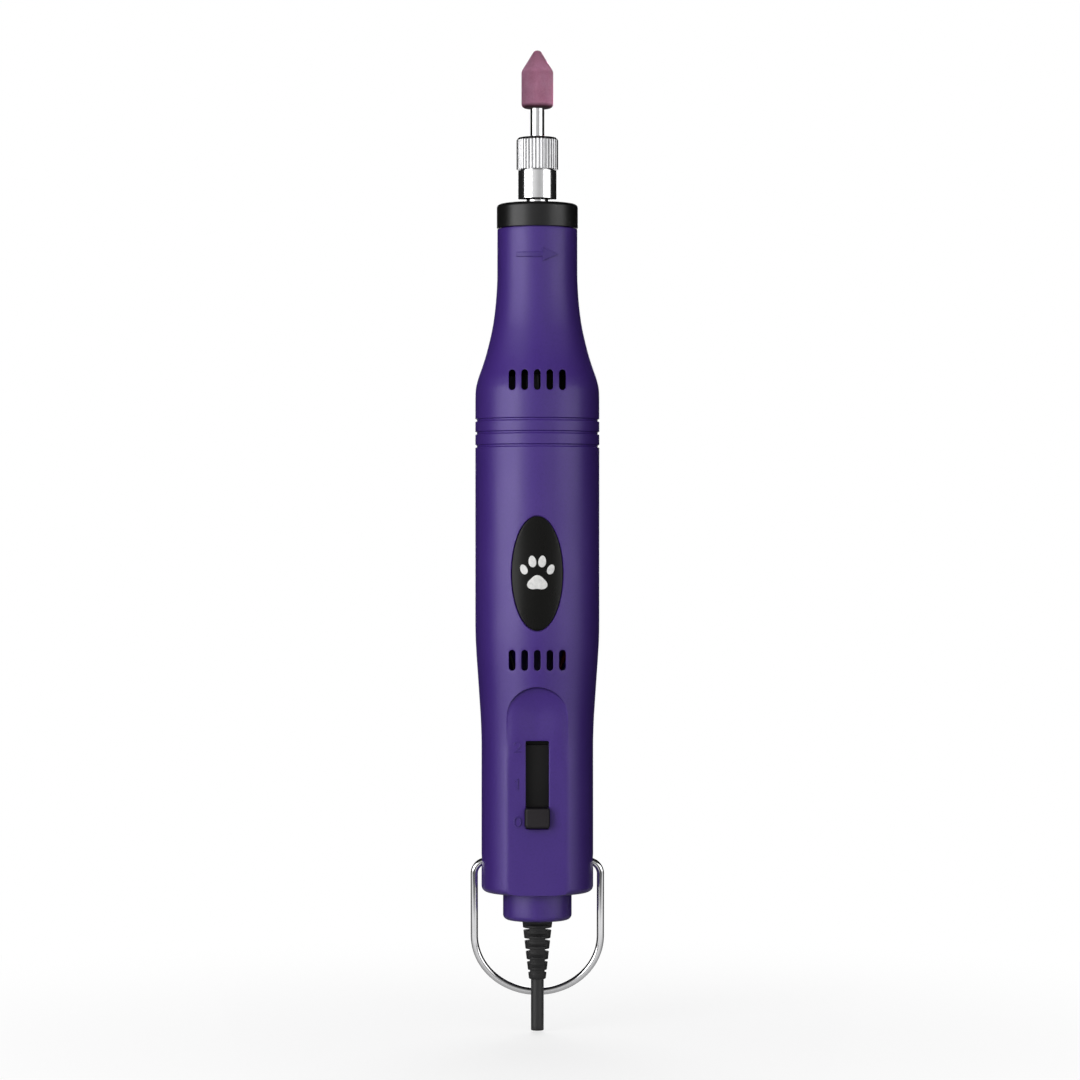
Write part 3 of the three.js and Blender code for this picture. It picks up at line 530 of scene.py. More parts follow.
def turned(profile, segments=128, radius_at=None):
    """Solid about Z. The profile touches the axis at both ends, or closes on itself.
    radius_at(angles, r, z) may change the radius round a ring."""
    skin, rings = Skin(), []
    angles = circle_angles(segments)
    for r, z in profile:
        if r < 1e-9:
            rings.append(skin.add([(0, 0, z)]))
            continue
        radii = radius_at(angles, r, z) if radius_at else np.full(segments, r)
        ring = zip(radii * np.cos(angles), radii * np.sin(angles), [z] * segments)
        rings.append(skin.add(ring))
    if not ends_on_axis(profile):
        rings.append(rings[0])
    for low, high in zip(rings, rings[1:]):
        if len(low) > 1 and len(high) > 1:
            skin.bridge(low, high)
            continue
        for i in range(segments):
            j = (i + 1) % segments
            if len(low) > 1:
                skin.faces.append((low[i], high[0], low[j]))
            elif len(high) > 1:
                skin.faces.append((low[0], high[i], high[j]))
    return skin


def ends_on_axis(profile):
    return profile[0][0] < 1e-9 and profile[-1][0] < 1e-9


def lathe(name, corners, material, body, replaces, segments=128, radius_at=None, sharp_angle=32.0):
    """Turned piece from (r, z[, fillet]) corners."""
    skin = turned(rounded(corners, not ends_on_axis(corners)), segments, radius_at)
    return put(name, skin, material, body, replaces, sharp_angle=sharp_angle)


def extruded(sections):
    """Solid through closed sections of the same length, capped at both ends."""
    skin = Skin()
    rings = [skin.add(section) for section in sections]
    skin.join(rings)
    skin.faces += [tuple(rings[0]), tuple(reversed(rings[-1]))]
    return skin


def monotone_cubic(keys, values, at):
    """Monotone cubic curve through (keys, values)."""
    keys, values = np.array(keys, float), np.array(values, float)
    gap = np.diff(keys)
    slope = np.diff(values) / gap
    tangent = np.zeros(len(keys))
    tangent[0], tangent[-1] = slope[0], slope[-1]
    for i in range(1, len(keys) - 1):
        if slope[i - 1] * slope[i] > 0:
            before, after = 2 * gap[i] + gap[i - 1], gap[i] + 2 * gap[i - 1]
            tangent[i] = (before + after) / (before / slope[i - 1] + after / slope[i])
    at = np.asarray(at, float)
    k = np.clip(np.searchsorted(keys, at) - 1, 0, len(keys) - 2)
    part = (at - keys[k]) / gap[k]
    return (
        (2 * part**3 - 3 * part**2 + 1) * values[k]
        + (part**3 - 2 * part**2 + part) * gap[k] * tangent[k]
        + (-2 * part**3 + 3 * part**2) * values[k + 1]
        + (part**3 - part**2) * gap[k] * tangent[k + 1]
    )


def inside(outline, points):
    """Which points (n, 2) lie in the closed outline."""
    outline, points = np.asarray(outline), np.asarray(points)
    found = np.zeros(len(points), bool)
    x, y = points[:, 0], points[:, 1]
    for (x0, y0), (x1, y1) in zip(outline, np.roll(outline, -1, axis=0)):
        if y0 != y1:
            found ^= ((y0 > y) != (y1 > y)) & (x < (x1 - x0) * (y - y0) / (y1 - y0) + x0)
    return found


def distance(outlines, points):
    """Distance of points (n, 2) from the nearest closed outline."""
    points = np.asarray(points)
    best = np.full(len(points), 1e9)
    for outline in outlines:
        starts = np.asarray(outline)
        for start, end in zip(starts, np.roll(starts, -1, axis=0)):
            side = end - start
            square = float(side @ side)
            if square < 1e-18:
                continue
            part = np.clip(((points - start) @ side) / square, 0, 1)
            gap = np.linalg.norm(points - (start + part[:, None] * side), axis=1)
            best = np.minimum(best, gap)
    return best


def offset(outline, amount):
    """Closed counter-clockwise outline moved outwards."""
    points = np.asarray(outline, float)
    before = points - np.roll(points, 1, axis=0)
    after = np.roll(points, -1, axis=0) - points
    before /= np.linalg.norm(before, axis=1)[:, None]
    after /= np.linalg.norm(after, axis=1)[:, None]
    first = np.stack([before[:, 1], -before[:, 0]], 1)
    normal = first + np.stack([after[:, 1], -after[:, 0]], 1)
    normal /= np.linalg.norm(normal, axis=1)[:, None]
    return points + normal * (amount / np.maximum(0.5, (normal * first).sum(1)))[:, None]


def triangulate(points, edges, tolerance):
    """Constrained triangles: points found, faces, face centres, new number of each given point."""
    found, _, faces, origins, _, _ = geometry.delaunay_2d_cdt(
        [Vector(point) for point in points], edges, [], 0, tolerance)
    found = np.array([tuple(point) for point in found])
    centres = np.array([found[list(face)].mean(0) for face in faces])
    number = {given: new for new, sources in enumerate(origins) for given in sources}
    return found, faces, centres, number


def capsule(width, height, mid_x, mid_z, arc_steps=8):
    """Counter-clockwise round-ended slot outline."""
    radius = width / 2
    top, bottom = mid_z + height / 2 - radius, mid_z - height / 2 + radius
    out = []
    for first, near, far, side in ((0.0, top, bottom, mid_x - radius),
                                   (pi, bottom, top, mid_x + radius)):
        for i in range(arc_steps + 1):
            angle = first + pi * i / arc_steps
            out.append((mid_x + radius * cos(angle), near + radius * sin(angle)))
        out += [(side, near + (far - near) * part) for part in (0.2, 0.4, 0.6, 0.8)]
    return np.array(out)


def ellipse(half_x, half_z, mid_x, mid_z, count):
    angles = circle_angles(count)
    return np.stack([mid_x + half_x * np.cos(angles), mid_z + half_z * np.sin(angles)], 1)


def rounded_rect(half_x, bottom, top, radius, step=0.9, arc_steps=5):
    """Counter-clockwise rectangle centred on x = 0, with round corners."""
    right, left, high, low = half_x - radius, -half_x + radius, top - radius, bottom + radius
    out = []
    for x, z, start in ((right, high, 0), (left, high, 90), (left, low, 180), (right, low, 270)):
        for i in range(arc_steps + 1):
            angle = radians(start + 90 * i / arc_steps)
            out.append((x + radius * cos(angle), z + radius * sin(angle)))
    return divided(out, step)


# ---------------------------------------------------------------- housing profile
# (z, r) up the shoulder from the main body to the neck
SHOULDER = np.array([
    (142.3, 14.0), (144.3, 13.93), (146.8, 13.42), (149.0, 12.66), (151.8, 11.74), (155.3, 10.82),
    (159.3, 9.98), (162.9, 9.50), (166.5, 9.20), (169.8, 9.05), (172.0, 9.03),
])
# (z, r) from the rear body up to the main body
FLARE = np.array([
    (60.0, 12.6), (64.5, 12.6), (68.0, 12.68), (77.5, 13.24), (85.5, 13.78), (89.0, 13.95),
    (92.5, 14.0), (94.0, 14.0),
])
# outer r, outer z, fillet, inner r, inner z
SHELL_BOTTOM = [
    (3.6, 25.0, 0, 3.6, 26.9),
    (BOSS_R, 25.0, 1.25, 5.85, 26.95),
    (BOSS_R, 31.3, 0.25, 5.85, 33.15),
    (REAR_R, 31.3, 1.45, 10.6, 33.2),
    (REAR_R, 36.0, 0, 10.7, 36.0),
    (REAR_R, 61.0, 0, 10.7, 61.0),
]
SHELL_TOP = [
    (NECK_R, 180.7, 0.12, BORE_R, 180.6),
    (8.0, 180.7, 0, BORE_R, 181.0),
    (8.0, 184.4, 0.3, BORE_R, 184.3),
    (7.3, 184.4, 0, BORE_R, 184.35),
]
# (height from the groove's middle, depth, fillet)
GROOVE = ((-0.36, 0, 0.08), (-0.17, 0.36, 0.10), (0.17, 0.36, 0.10), (0.36, 0, 0.08))


def shell_profile():
    """Arc length, outer (r, z) and inner (r, z) at stations up the shell."""
    keys = list(SHELL_BOTTOM)
    heights = np.arange(62.0, 93.1, 0.9)
    for r, z in zip(monotone_cubic(*FLARE.T, heights), heights):
        keys.append((r, z, 0, r - WALL, z))
    for middle in GROOVES:
        for rise, depth, fillet in GROOVE:
            keys.append((MAIN_R - depth, middle + rise, fillet, 12.1, middle + rise))
    heights = np.arange(142.6, 171.0, 0.5)
    for r, z in zip(monotone_cubic(*SHOULDER.T, heights), heights):
        keys.append((r, z, 0, max(BORE_R, r - WALL), z))
    keys += SHELL_TOP
    outer = np.array(rounded([key[:3] for key in keys], False, 10, 4))
    steps = np.linalg.norm(np.diff(outer, axis=0), axis=1)
    length = np.concatenate([[0], np.cumsum(steps)])
    places = []  # arc length of each key
    cursor = 0
    for key in keys:
        ahead = outer[cursor:cursor + 26]
        cursor += int(np.argmin(np.linalg.norm(ahead - np.array(key[:2]), axis=1)))
        places.append(length[cursor])
    # a hair is added at each key so that places never repeat
    places = np.maximum.accumulate(np.array(places) + np.arange(len(places)) * 1e-9)
    inner = [np.interp(length, places, [key[column] for key in keys]) for column in (3, 4)]
    return length, outer, np.stack(inner, 1)


ARC, OUTER, INNER = shell_profile()
SIDE = (OUTER[:, 1] > 33.2) & (OUTER[:, 1] < 180.0)  # stations where z only rises


def arc_at(z):
    return np.interp(z, OUTER[SIDE, 1], ARC[SIDE])


def outer_at(arc):
    return np.interp(arc, ARC, OUTER[:, 0]), np.interp(arc, ARC, OUTER[:, 1])


def inner_at(arc):
    return np.interp(arc, ARC, INNER[:, 0]), np.interp(arc, ARC, INNER[:, 1])


def scoop(depth):
    """1 at the arch's edge, falling steeply and then easing into the flat panel."""
    steep = 0.50 * (1 - np.clip(depth / 0.42, 0, 1)) ** 1.6
    return steep + 0.50 * (1 - np.clip(depth / SCOOP_WIDTH, 0, 1)) ** 2.0


def front_y(x, z, radius):
    """y of the front half: round body, flat panel, and the scoop under the panel's arch."""
    y = -np.sqrt(np.maximum(radius * radius - x * x, 0))
    proud = -PANEL_Y - y  # positive where the round body stands in front of the panel
    blend = 0.16
    panel = -PANEL_Y + 0.5 * (-proud + np.sqrt(proud * proud + blend * blend))
    depth = PANEL_HALF - np.hypot(x, np.maximum(z - PANEL_ARCH_Z, 0))
    scooped = panel - np.maximum(proud, 0) * scoop(depth) * np.clip((z - 60) / 8, 0, 1)
    low = np.clip((67.5 - z) / 4.0, 0, 1)
    in_arch = (depth > 1e-6) & (z < PANEL_ARCH_Z + PANEL_HALF)
    return np.where(in_arch, scooped, y * (1 - low) + panel * low)


def outer_point(side, angle, arc):
    """side -1 is the front (-Y) half, +1 the rear. angle runs -90..90 degrees across it."""
    radius, z = outer_at(arc)
    edge = np.maximum(np.abs(radius) * np.cos(angle), 0)  # distance from the joint plane
    near = np.clip(SEAM_ROUND - edge, 0, SEAM_ROUND)
    radius = radius - (SEAM_ROUND - np.sqrt(np.maximum(SEAM_ROUND**2 - near * near, 0)))
    x = radius * np.sin(angle)
    if side < 0:
        y = np.minimum(front_y(x, z, radius), -SEAM)
    else:
        y = np.maximum(np.sqrt(np.maximum(radius * radius - x * x, 0)), SEAM)
    return np.stack([x, y, z], -1)


def behind_panel(y, z):
    """Inner wall distance, kept flat behind the front panel."""
    return np.where((z > 33.0) & (z < 80.0), np.minimum(y, PANEL_BACK), y)


def inner_point(side, angle, arc):
    radius, _ = outer_at(arc)
    bore, z = inner_at(arc)
    # x follows the outer skin near the middle, then closes up towards the thinner bore
    x = radius * np.sin(angle)
    straight = 0.55 * radius
    across = np.abs(x)
    squeeze = (bore - straight) * (across - straight) / np.maximum(radius - straight, 1e-6)
    near = np.minimum(across, bore * 0.97)
    x = np.sign(x) * np.where(across <= straight, near, straight + squeeze)
    y = np.sqrt(np.maximum(bore * bore - x * x, 0))
    if side < 0:
        y = behind_panel(y, z)
    return np.stack([x, side * np.maximum(y, SEAM), z], -1)


def wall_y(points):
    """Distance of the inner wall from the joint plane at points (x, z)."""
    bore, _ = inner_at(arc_at(points[:, 1]))
    return np.sqrt(np.maximum(bore * bore - points[:, 0] ** 2, 0))


# ---------------------------------------------------------------- housing halves
# A half is laid out in a plane whose axes are the angle, times SPREAD, and the arc length.
SPREAD = 12.0  # mm per radian, so that distances in the plane are close to real ones


def to_domain(outline):
    """(x, z) on the surface to (angle, arc length)."""
    outline = np.asarray(outline)
    arc = arc_at(outline[:, 1])
    return np.stack([np.arcsin(np.clip(outline[:, 0] / outer_at(arc)[0], -1, 1)), arc], 1)


def to_plane(domain):
    return np.stack([domain[:, 0] * SPREAD, domain[:, 1]], 1)


def grown(outline, amount):
    """(x, z) outline in the plane, moved outwards."""
    domain = to_domain(outline)
    radius = outer_at(domain[:, 1])[0].mean()
    out = offset(np.stack([domain[:, 0] * radius, domain[:, 1]], 1), amount)
    out[:, 0] /= radius
    return to_plane(out)


class Hole:
    """An opening. kind is through, blind or screw; depth is for a blind one, centre for a screw."""

    def __init__(self, kind, outline, lip, depth=0.0, centre=None):
        self.kind, self.outline, self.lip, self.depth = kind, outline, lip, depth
        self.centre = centre
        self.loop = grown(outline, lip)
        self.blind = kind == "blind"
        self.floor = grown(outline, -0.03) if self.blind else None
        self.floor_faces = []

    def spokes(self):
        out = self.outline - np.array(self.centre)
        return out / np.linalg.norm(out, axis=1)[:, None]

    def inner_rim(self):
        """(x, z) of the rim on the inner skin."""
        if self.kind == "screw":
            return np.array(self.centre) + self.spokes() * SCREW_BOSS_R
        return self.outline

    def covers(self, points):
        """Points with no surface of their own: the opening, or the ledge round a floor."""
        hit = inside(self.loop, points)
        return hit & ~inside(self.floor, points) if self.blind else hit


def grid_lines():
    """Angles across a half and arc lengths up it."""
    near = [pi / 2 - (gap + SEAM) / 13.0 for gap in (0.0, 0.02, 0.06, 0.11, 0.17, 0.24)]
    every = np.radians(np.arange(-87, 87.1, 3.0))
    lines = np.concatenate([every, near, [-angle for angle in near]])
    lines = sorted(set(np.round(lines, 6)))
    angles = [lines[0]]
    for angle in lines[1:]:
        if (angle - angles[-1]) * 13 > 0.015:
            angles.append(angle)
    arcs = [ARC[0]]
    for i in range(1, len(ARC)):
        start = arcs[-1]
        gap = ARC[i] - start
        if gap > 1.15:
            count = int(ceil(gap))
            arcs += [start + gap * k / count for k in range(1, count + 1)]
        elif gap > 0.02 or i == len(ARC) - 1:
            arcs.append(ARC[i])
    return np.array(angles), np.array(arcs)


def corners_of(cells):
    """Grid points at the corners of the marked cells."""
    marked = np.zeros((cells.shape[0] + 1, cells.shape[1] + 1), bool)
    for i, j in np.argwhere(cells):
        marked[i : i + 2, j : j + 2] = True
    return marked


def nearest(marks, points):
    best = np.full(len(points), 1e9)
    for mark in marks:
        best = np.minimum(best, np.linalg.norm(points - mark, axis=1))
    return best


class ShellHalf:
    """Outer skin on a grid cut by holes and lines, with an inner skin behind it."""

    def __init__(self, side, holes, creases=(), ring_points=np.zeros((0, 2))):
        self.side, self.holes = side, holes
        self.creases, self.ring_points = creases, ring_points
        self.angles, self.arcs = grid_lines()
        self.columns = self.angles * SPREAD
        self.bites = [self.bail_bite(way) for way in (-1, 1)]
        self.points = []  # (angle, arc)
        self.faces = []
        self.index = {}
        self.mark_cells()

    def bail_bite(self, way):
        """Half-round notch in the joint edge for the bail."""
        angles = np.linspace(-pi / 2, pi / 2, 15)
        across = BAIL_NOTCH_R * SPREAD / REAR_R
        return np.stack([
            way * self.angles[-1] * SPREAD - way * across * np.cos(angles),
            float(arc_at(BAIL_Z)) + BAIL_NOTCH_R * np.sin(angles),
        ], 1)

    def mark_cells(self):
        """Cells near a feature are touched; the others become plain quads."""
        shape = (len(self.arcs), len(self.angles))
        across, up = np.meshgrid(self.columns, self.arcs, indexing="xy")
        grid = np.stack([across.ravel(), up.ravel()], 1)
        openings = [hole.loop for hole in self.holes] + self.bites
        gap = distance(openings + list(self.creases), grid)
        touched = np.minimum(gap, nearest(self.ring_points, grid)) < 1.25
        for outline in openings:
            touched |= inside(outline, grid)
        touched = touched.reshape(shape)
        self.cells = touched[:-1, :-1] | touched[1:, :-1] | touched[:-1, 1:] | touched[1:, 1:]
        plain_corners = corners_of(~self.cells)
        self.border = plain_corners & corners_of(self.cells)
        self.rim = np.zeros(shape, bool)
        self.rim[[0, -1]] = True
        self.rim[:, [0, -1]] = True
        for i, j in np.argwhere(plain_corners).tolist():
            self.index[i, j] = self.add_point(self.columns[j], self.arcs[i])
        for i, j in np.argwhere(~self.cells).tolist():
            quad = ((i, j), (i, j + 1), (i + 1, j + 1), (i + 1, j))
            self.faces.append(tuple(self.index[corner] for corner in quad))

    def add_point(self, across, arc):
        self.points.append((across / SPREAD, arc))
        return len(self.points) - 1

    def patches(self):
        """Touched cells in groups that share sides."""
        cells = [tuple(cell) for cell in np.argwhere(self.cells).tolist()]
        waiting = set(cells)
        for first in cells:
            if first not in waiting:
                continue
            waiting.remove(first)
            stack, members = [first], []
            while stack:
                i, j = stack.pop()
                members.append((i, j))
                for near in ((i + 1, j), (i - 1, j), (i, j + 1), (i, j - 1)):
                    if near in waiting:
                        waiting.remove(near)
                        stack.append(near)
            yield members

    def kept_corners(self, corners, spots, holes, bites, lines):
        """Grid corners that stay: all on the patch border, and those clear of every feature."""
        rows, columns = np.array(corners).T
        on_rim = self.rim[rows, columns]
        blocked = distance(bites, spots) < np.where(on_rim, 0.2, 0.28)
        for bite in bites:
            blocked |= inside(bite, spots)
        for hole in holes:
            blocked |= hole.covers(spots)
        crowded = (distance(lines, spots) < 0.28) | (nearest(self.ring_points, spots) < 0.34)
        blocked |= ~on_rim & crowded
        return self.border[rows, columns] | ~blocked

    def fill_patch(self, members):
        """Triangles over one patch that follow the grid outside it and the lines through it."""
        cells = set(members)
        corners = sorted({(i + a, j + b) for i, j in members for a in (0, 1) for b in (0, 1)})
        spots = np.array([[self.columns[j], self.arcs[i]] for i, j in corners])
        low, high = spots.min(0) - 1e-6, spots.max(0) + 1e-6

        def within(points, margin=0.0):
            return np.all((points >= low + margin) & (points <= high - margin), axis=-1)

        holes = [hole for hole in self.holes if within(hole.loop.mean(0))]
        bites = [bite for bite in self.bites
                 if low[0] - 0.1 <= bite[0, 0] <= high[0] + 0.1
                 and low[1] < bite[:, 1].mean() < high[1]]
        creases = [crease for crease in self.creases if within(crease[::7]).any()]
        lines = [hole.loop for hole in holes] + creases
        lines += [hole.floor for hole in holes if hole.blind]

        points, edges, known, local = [], [], {}, {}

        def lay(line, closed=True):
            start, count = len(points), len(line)
            points.extend(line)
            for i in range(count if closed else count - 1):
                edges.append((start + i, start + (i + 1) % count))
            return range(start, start + count)

        keep = self.kept_corners(corners, spots, holes, bites, lines)
        for corner, spot, kept in zip(corners, spots, keep):
            if kept:
                local[corner] = len(points)
                if corner in self.index:
                    known[len(points)] = self.index[corner]
                points.append(spot)
        for i, j in members:  # the patch's own outline
            for start, end, neighbour in (
                ((i, j), (i, j + 1), (i - 1, j)),
                ((i + 1, j), (i + 1, j + 1), (i + 1, j)),
                ((i, j), (i + 1, j), (i, j - 1)),
                ((i, j + 1), (i + 1, j + 1), (i, j + 1)),
            ):
                if neighbour not in cells and start in local and end in local:
                    edges.append((local[start], local[end]))
        laid = [(lay(hole.loop), lay(hole.floor) if hole.blind else ()) for hole in holes]
        for bite in bites:
            lay(bite, closed=False)
        for crease in creases:
            lay(crease)
        extra = self.ring_points[within(self.ring_points, 0.05)]
        clear = distance(lines, extra) >= 0.03
        for hole in holes:
            clear &= ~inside(hole.loop, extra)
        points.extend(extra[clear])

        found, faces, centres, number = triangulate(points, edges, 1e-7)
        ids = {number[given]: point for given, point in known.items()}
        for new, spot in enumerate(found):
            if new not in ids:
                ids[new] = self.add_point(*spot)
        for hole, (rim, floor) in zip(holes, laid):
            hole.rim_ids = [ids[number[i]] for i in rim]
            hole.floor_ids = [ids[number[i]] for i in floor]
        self.keep_faces(cells, holes, bites, centres,
                        [tuple(ids[i] for i in face) for face in faces])

    def keep_faces(self, cells, holes, bites, centres, faces):
        """Sorts a patch's triangles into the skin, the blind floors and waste."""
        rows = np.searchsorted(self.arcs, centres[:, 1]) - 1
        columns = np.searchsorted(self.columns, centres[:, 0]) - 1
        rows = np.clip(rows, 0, len(self.arcs) - 2).tolist()
        columns = np.clip(columns, 0, len(self.angles) - 2).tolist()
        keep = np.array([cell in cells for cell in zip(rows, columns)])
        for hole in holes:
            keep &= ~hole.covers(centres)
            if hole.blind:
                on_floor = inside(hole.floor, centres)
                hole.floor_faces += [faces[i] for i in np.nonzero(on_floor & keep)[0]]
                keep &= ~on_floor
        for bite in bites:
            keep &= ~inside(bite, centres)
        self.faces += [faces[i] for i in np.nonzero(keep)[0]]

    def build(self, name, replaces):
        for members in list(self.patches()):
            self.fill_patch(members)
        domain = np.array(self.points)
        outer = outer_point(self.side, domain[:, 0], domain[:, 1])
        inner = inner_point(self.side, domain[:, 0], domain[:, 1])
        for hole in self.holes:
            if hole.blind:
                sunk = list(set(hole.floor_ids).union(*hole.floor_faces))
                angle, arc = domain[sunk].T
                radius, z = outer_at(arc)
                radius = radius - hole.depth
                y = self.side * radius * np.cos(angle)
                outer[sunk] = np.stack([radius * np.sin(angle), y, z], -1)
            else:
                rim = hole.inner_rim()
                y = wall_y(rim)
                if self.side < 0:
                    y = behind_panel(y, rim[:, 1])
                inner[hole.rim_ids] = np.stack([rim[:, 0], self.side * y, rim[:, 1]], 1)
        skin = Skin()
        skin.add(outer)
        skin.add(inner)
        count = len(outer)
        floors = [face for hole in self.holes for face in hole.floor_faces]
        for face in self.faces + floors:
            skin.faces += [face, tuple(i + count for i in reversed(face))]
        for hole in self.holes:
            self.hole_wall(skin, hole, outer[hole.rim_ids], count)
        self.edge_walls(skin, count)
        put(name, skin, "purple", "housing", replaces, sharp_angle=30.0)

    def hole_wall(self, skin, hole, rim, count):
        """Rounded lip, then the wall down to the inner skin or the blind floor."""
        base = outer_point(self.side, *to_domain(hole.outline).T)
        inwards = np.array([0, -self.side, 0.0])
        inner_rim = [i + count for i in hole.rim_ids]
        rings = [hole.rim_ids]
        lip_steps = 4
        for step in range(1, lip_steps + 1):
            angle = step / lip_steps * pi / 2
            slope = base + (rim - base) * (1 - sin(angle))
            rings.append(skin.add(slope + inwards * hole.lip * (1 - cos(angle))))
        if hole.blind:
            skin.join(rings + [hole.floor_ids])
            skin.bridge([i + count for i in hole.floor_ids], inner_rim)
            return
        if hole.kind == "screw":
            # (radius, y): counterbore, clearance bore, boss end, boss wall
            for radius, depth in ((COUNTERBORE_R, SCREW_SEAT), (SCREW_BORE_R, SCREW_SEAT),
                                  (SCREW_BORE_R, SEAM), (2.0, SEAM), (2.0, 4.6),
                                  (SCREW_BOSS_R, 4.6)):
                spots = np.array(hole.centre) + hole.spokes() * radius
                y = np.full(len(spots), depth)
                if radius == SCREW_BOSS_R:
                    y = np.minimum(depth, wall_y(spots) - 0.03)
                rings.append(skin.add(np.stack([spots[:, 0], self.side * y, spots[:, 1]], 1)))
        skin.join(rings + [inner_rim])

    def edge_walls(self, skin, count):
        """Joins the two skins round the outside edge of the half."""
        edges = dict.fromkeys(
            edge for face in self.faces for edge in zip(face, face[1:] + face[:1]))
        rims = {i for hole in self.holes for i in hole.rim_ids}
        for start, end in edges:
            if (end, start) not in edges and not (start in rims and end in rims):
                skin.faces.append((end, start, start + count, end + count))


def vents(rows):
    return [
        Hole("through", capsule(VENT_WIDTH, VENT_HEIGHT, k * VENT_PITCH, row), lip=0.13)
        for row in rows for k in range(-2, 3)
    ]


def panel_crease():
    """Outline of the flat panel: in from the end face, up both sides and over the arch."""
    end_face = (OUTER[:, 1] < 32.8) & (OUTER[:, 0] > 10.0)
    arcs = [np.interp(radius, OUTER[end_face, 0], ARC[end_face])
            for radius in (10.62, 10.9, 11.3, 11.8, 12.2)]
    heights = np.concatenate([np.arange(33.4, 66.0, 1.1), np.arange(66.6, 71.3, 0.8)])
    arcs += [float(arc_at(z)) for z in heights]
    right = []
    for arc in arcs:
        radius, _ = outer_at(arc)
        half = min(PANEL_HALF, sqrt(max(radius * radius - PANEL_Y**2, 1e-6)))
        right.append((asin(half / radius), arc))
    arch = to_domain([(PANEL_HALF * cos(angle), PANEL_ARCH_Z + PANEL_HALF * sin(angle))
                      for angle in np.linspace(0, pi, 49)])
    left = [(-angle, arc) for angle, arc in reversed(right)]
    return to_plane(np.concatenate([right, arch, left]))


def arch_ring_points():
    """Extra points in rows just inside the panel's arch and sides, where the scoop is steep."""
    points = []
    for inset in (0.06, 0.13, 0.22, 0.33, 0.46, 0.85, 1.3, 1.9, 2.6):
        radius = PANEL_HALF - inset
        count = max(24, int(radius * pi / (0.32 if inset < 0.5 else 0.6)))
        points += [(radius * cos(angle), PANEL_ARCH_Z + radius * sin(angle))
                   for angle in np.linspace(0, pi, count)]
        for z in np.arange(PANEL_ARCH_Z - 0.5, 65.0, -0.6):
            points += [(radius, z), (-radius, z)]
    return to_plane(to_domain(points))


def build_shells():
    slot = rounded_rect(SLOT_HALF, SLOT_BOTTOM, SLOT_TOP, radius=0.3)
    recess = ellipse(BADGE_HALF_X + BADGE_GAP, BADGE_HALF_Z + BADGE_GAP, 0, BADGE_Z, 96)
    holes = vents(FRONT_VENT_ROWS)
    holes += [Hole("through", slot, lip=0.16), Hole("blind", recess, lip=0.12, depth=0.68)]
    front = ShellHalf(-1, holes, [panel_crease()], arch_ring_points())
    front.build("front_shell_skin", "front_shell")
    holes = vents(REAR_VENT_ROWS)
    for x, z in SCREWS:
        outline = ellipse(COUNTERBORE_R, COUNTERBORE_R, x, z, 36)
        holes.append(Hole("screw", outline, lip=0.12, centre=(x, z)))
    ShellHalf(1, holes).build("rear_shell_skin", "rear_shell")


build_shells()


# ---------------------------------------------------------------- bosses and ribs inside
def front_boss(name, mid_x, mid_z):
    """Blind boss the screw cuts into; its foot follows the inside of the wall."""
    angles = circle_angles(40)
    skin, rings = Skin(), []

    def foot(spots):
        return -np.minimum(wall_y(spots), PANEL_BACK) - 0.3

    # (radius, y), the last y being the foot
    for radius, y in ((0.95, -5.2), (0.95, -0.35), (1.15, -SEAM), (1.85, -SEAM), (2.0, -0.2),
                      (2.0, None)):
        spots = np.stack([mid_x + radius * np.cos(angles), mid_z + radius * np.sin(angles)], 1)
        depth = foot(spots) if y is None else np.full(len(spots), y)
        rings.append(skin.add(zip(spots[:, 0], depth, spots[:, 1])))
    skin.join(rings)
    skin.faces.append(tuple(rings[0]))
    [centre] = skin.add([(mid_x, float(foot(np.array([[mid_x, mid_z]]))[0]), mid_z)])
    last = rings[-1]
    skin.faces += [(start, centre, end) for start, end in zip(last, last[1:] + last[:1])]
    put(name, skin, "purple", "housing")


def half_ring(name, side, corners):
    """Closed (r, z) section turned through half a circle, a hair short of the joint."""
    section = rounded(corners, True)
    cuts = 49
    rings = []
    for k in range(cuts):
        ring = []
        for r, z in section:
            edge = asin(SEAM / r)
            angle = edge + (pi - 2 * edge) * k / (cuts - 1)
            ring.append((r * cos(angle), side * r * sin(angle), z))
        rings.append(ring)
    put(name, extruded(rings), "purple", "housing")


def seam_lip(name, side, bottom, top):
    """Tongue on the rear shell behind the front shell's edge, closing the joint to light."""
    rings = []
    for z in np.linspace(bottom, top, max(2, int((top - bottom) / 1.2))):
        bore = float(inner_at(arc_at(z))[0])
        section = (
            (bore - 0.8, -1.0),
            (sqrt(bore * bore - 1.0) - 0.10, -1.0),
            (bore - 0.10, -0.1),
            (bore - 0.10, 0.12),
            (bore + 0.10, 0.12),
            (sqrt(bore * bore - 1.69) + 0.10, 1.3),
            (bore - 0.8, 1.3),
        )
        rings.append([(side * x, y, z) for x, y in section])
    put(name, extruded(rings), "purple", "housing")


def rib(inner, outer, bottom, top, fillet):
    """Section of a rib whose inner corners are rounded."""
    return [(inner, bottom, fillet), (outer, bottom), (outer, top), (inner, top, fillet)]


for i, (x, z) in enumerate(SCREWS):
    front_boss(f"front_screw_boss_{i + 1}", x, z)
for where, side in (("left", -1), ("right", 1)):
    seam_lip(f"rear_shell_lip_{where}", side, 40.6, 95.0)
    seam_lip(f"rear_shell_lip_{where}_tail", side, 33.9, 36.4)
for where, side in (("front", -1), ("rear", 1)):
    half_ring(f"{where}_relief_collar", side, rib(3.6, 6.1, 29.3, 30.6, 0.1))
    half_ring(f"{where}_motor_rib_lower", side, rib(9.3, 12.35, 96.8, 98.3, 0.15))
    half_ring(f"{where}_motor_rib_upper", side, rib(8.5, 12.35, 139.8, 141.3, 0.15))


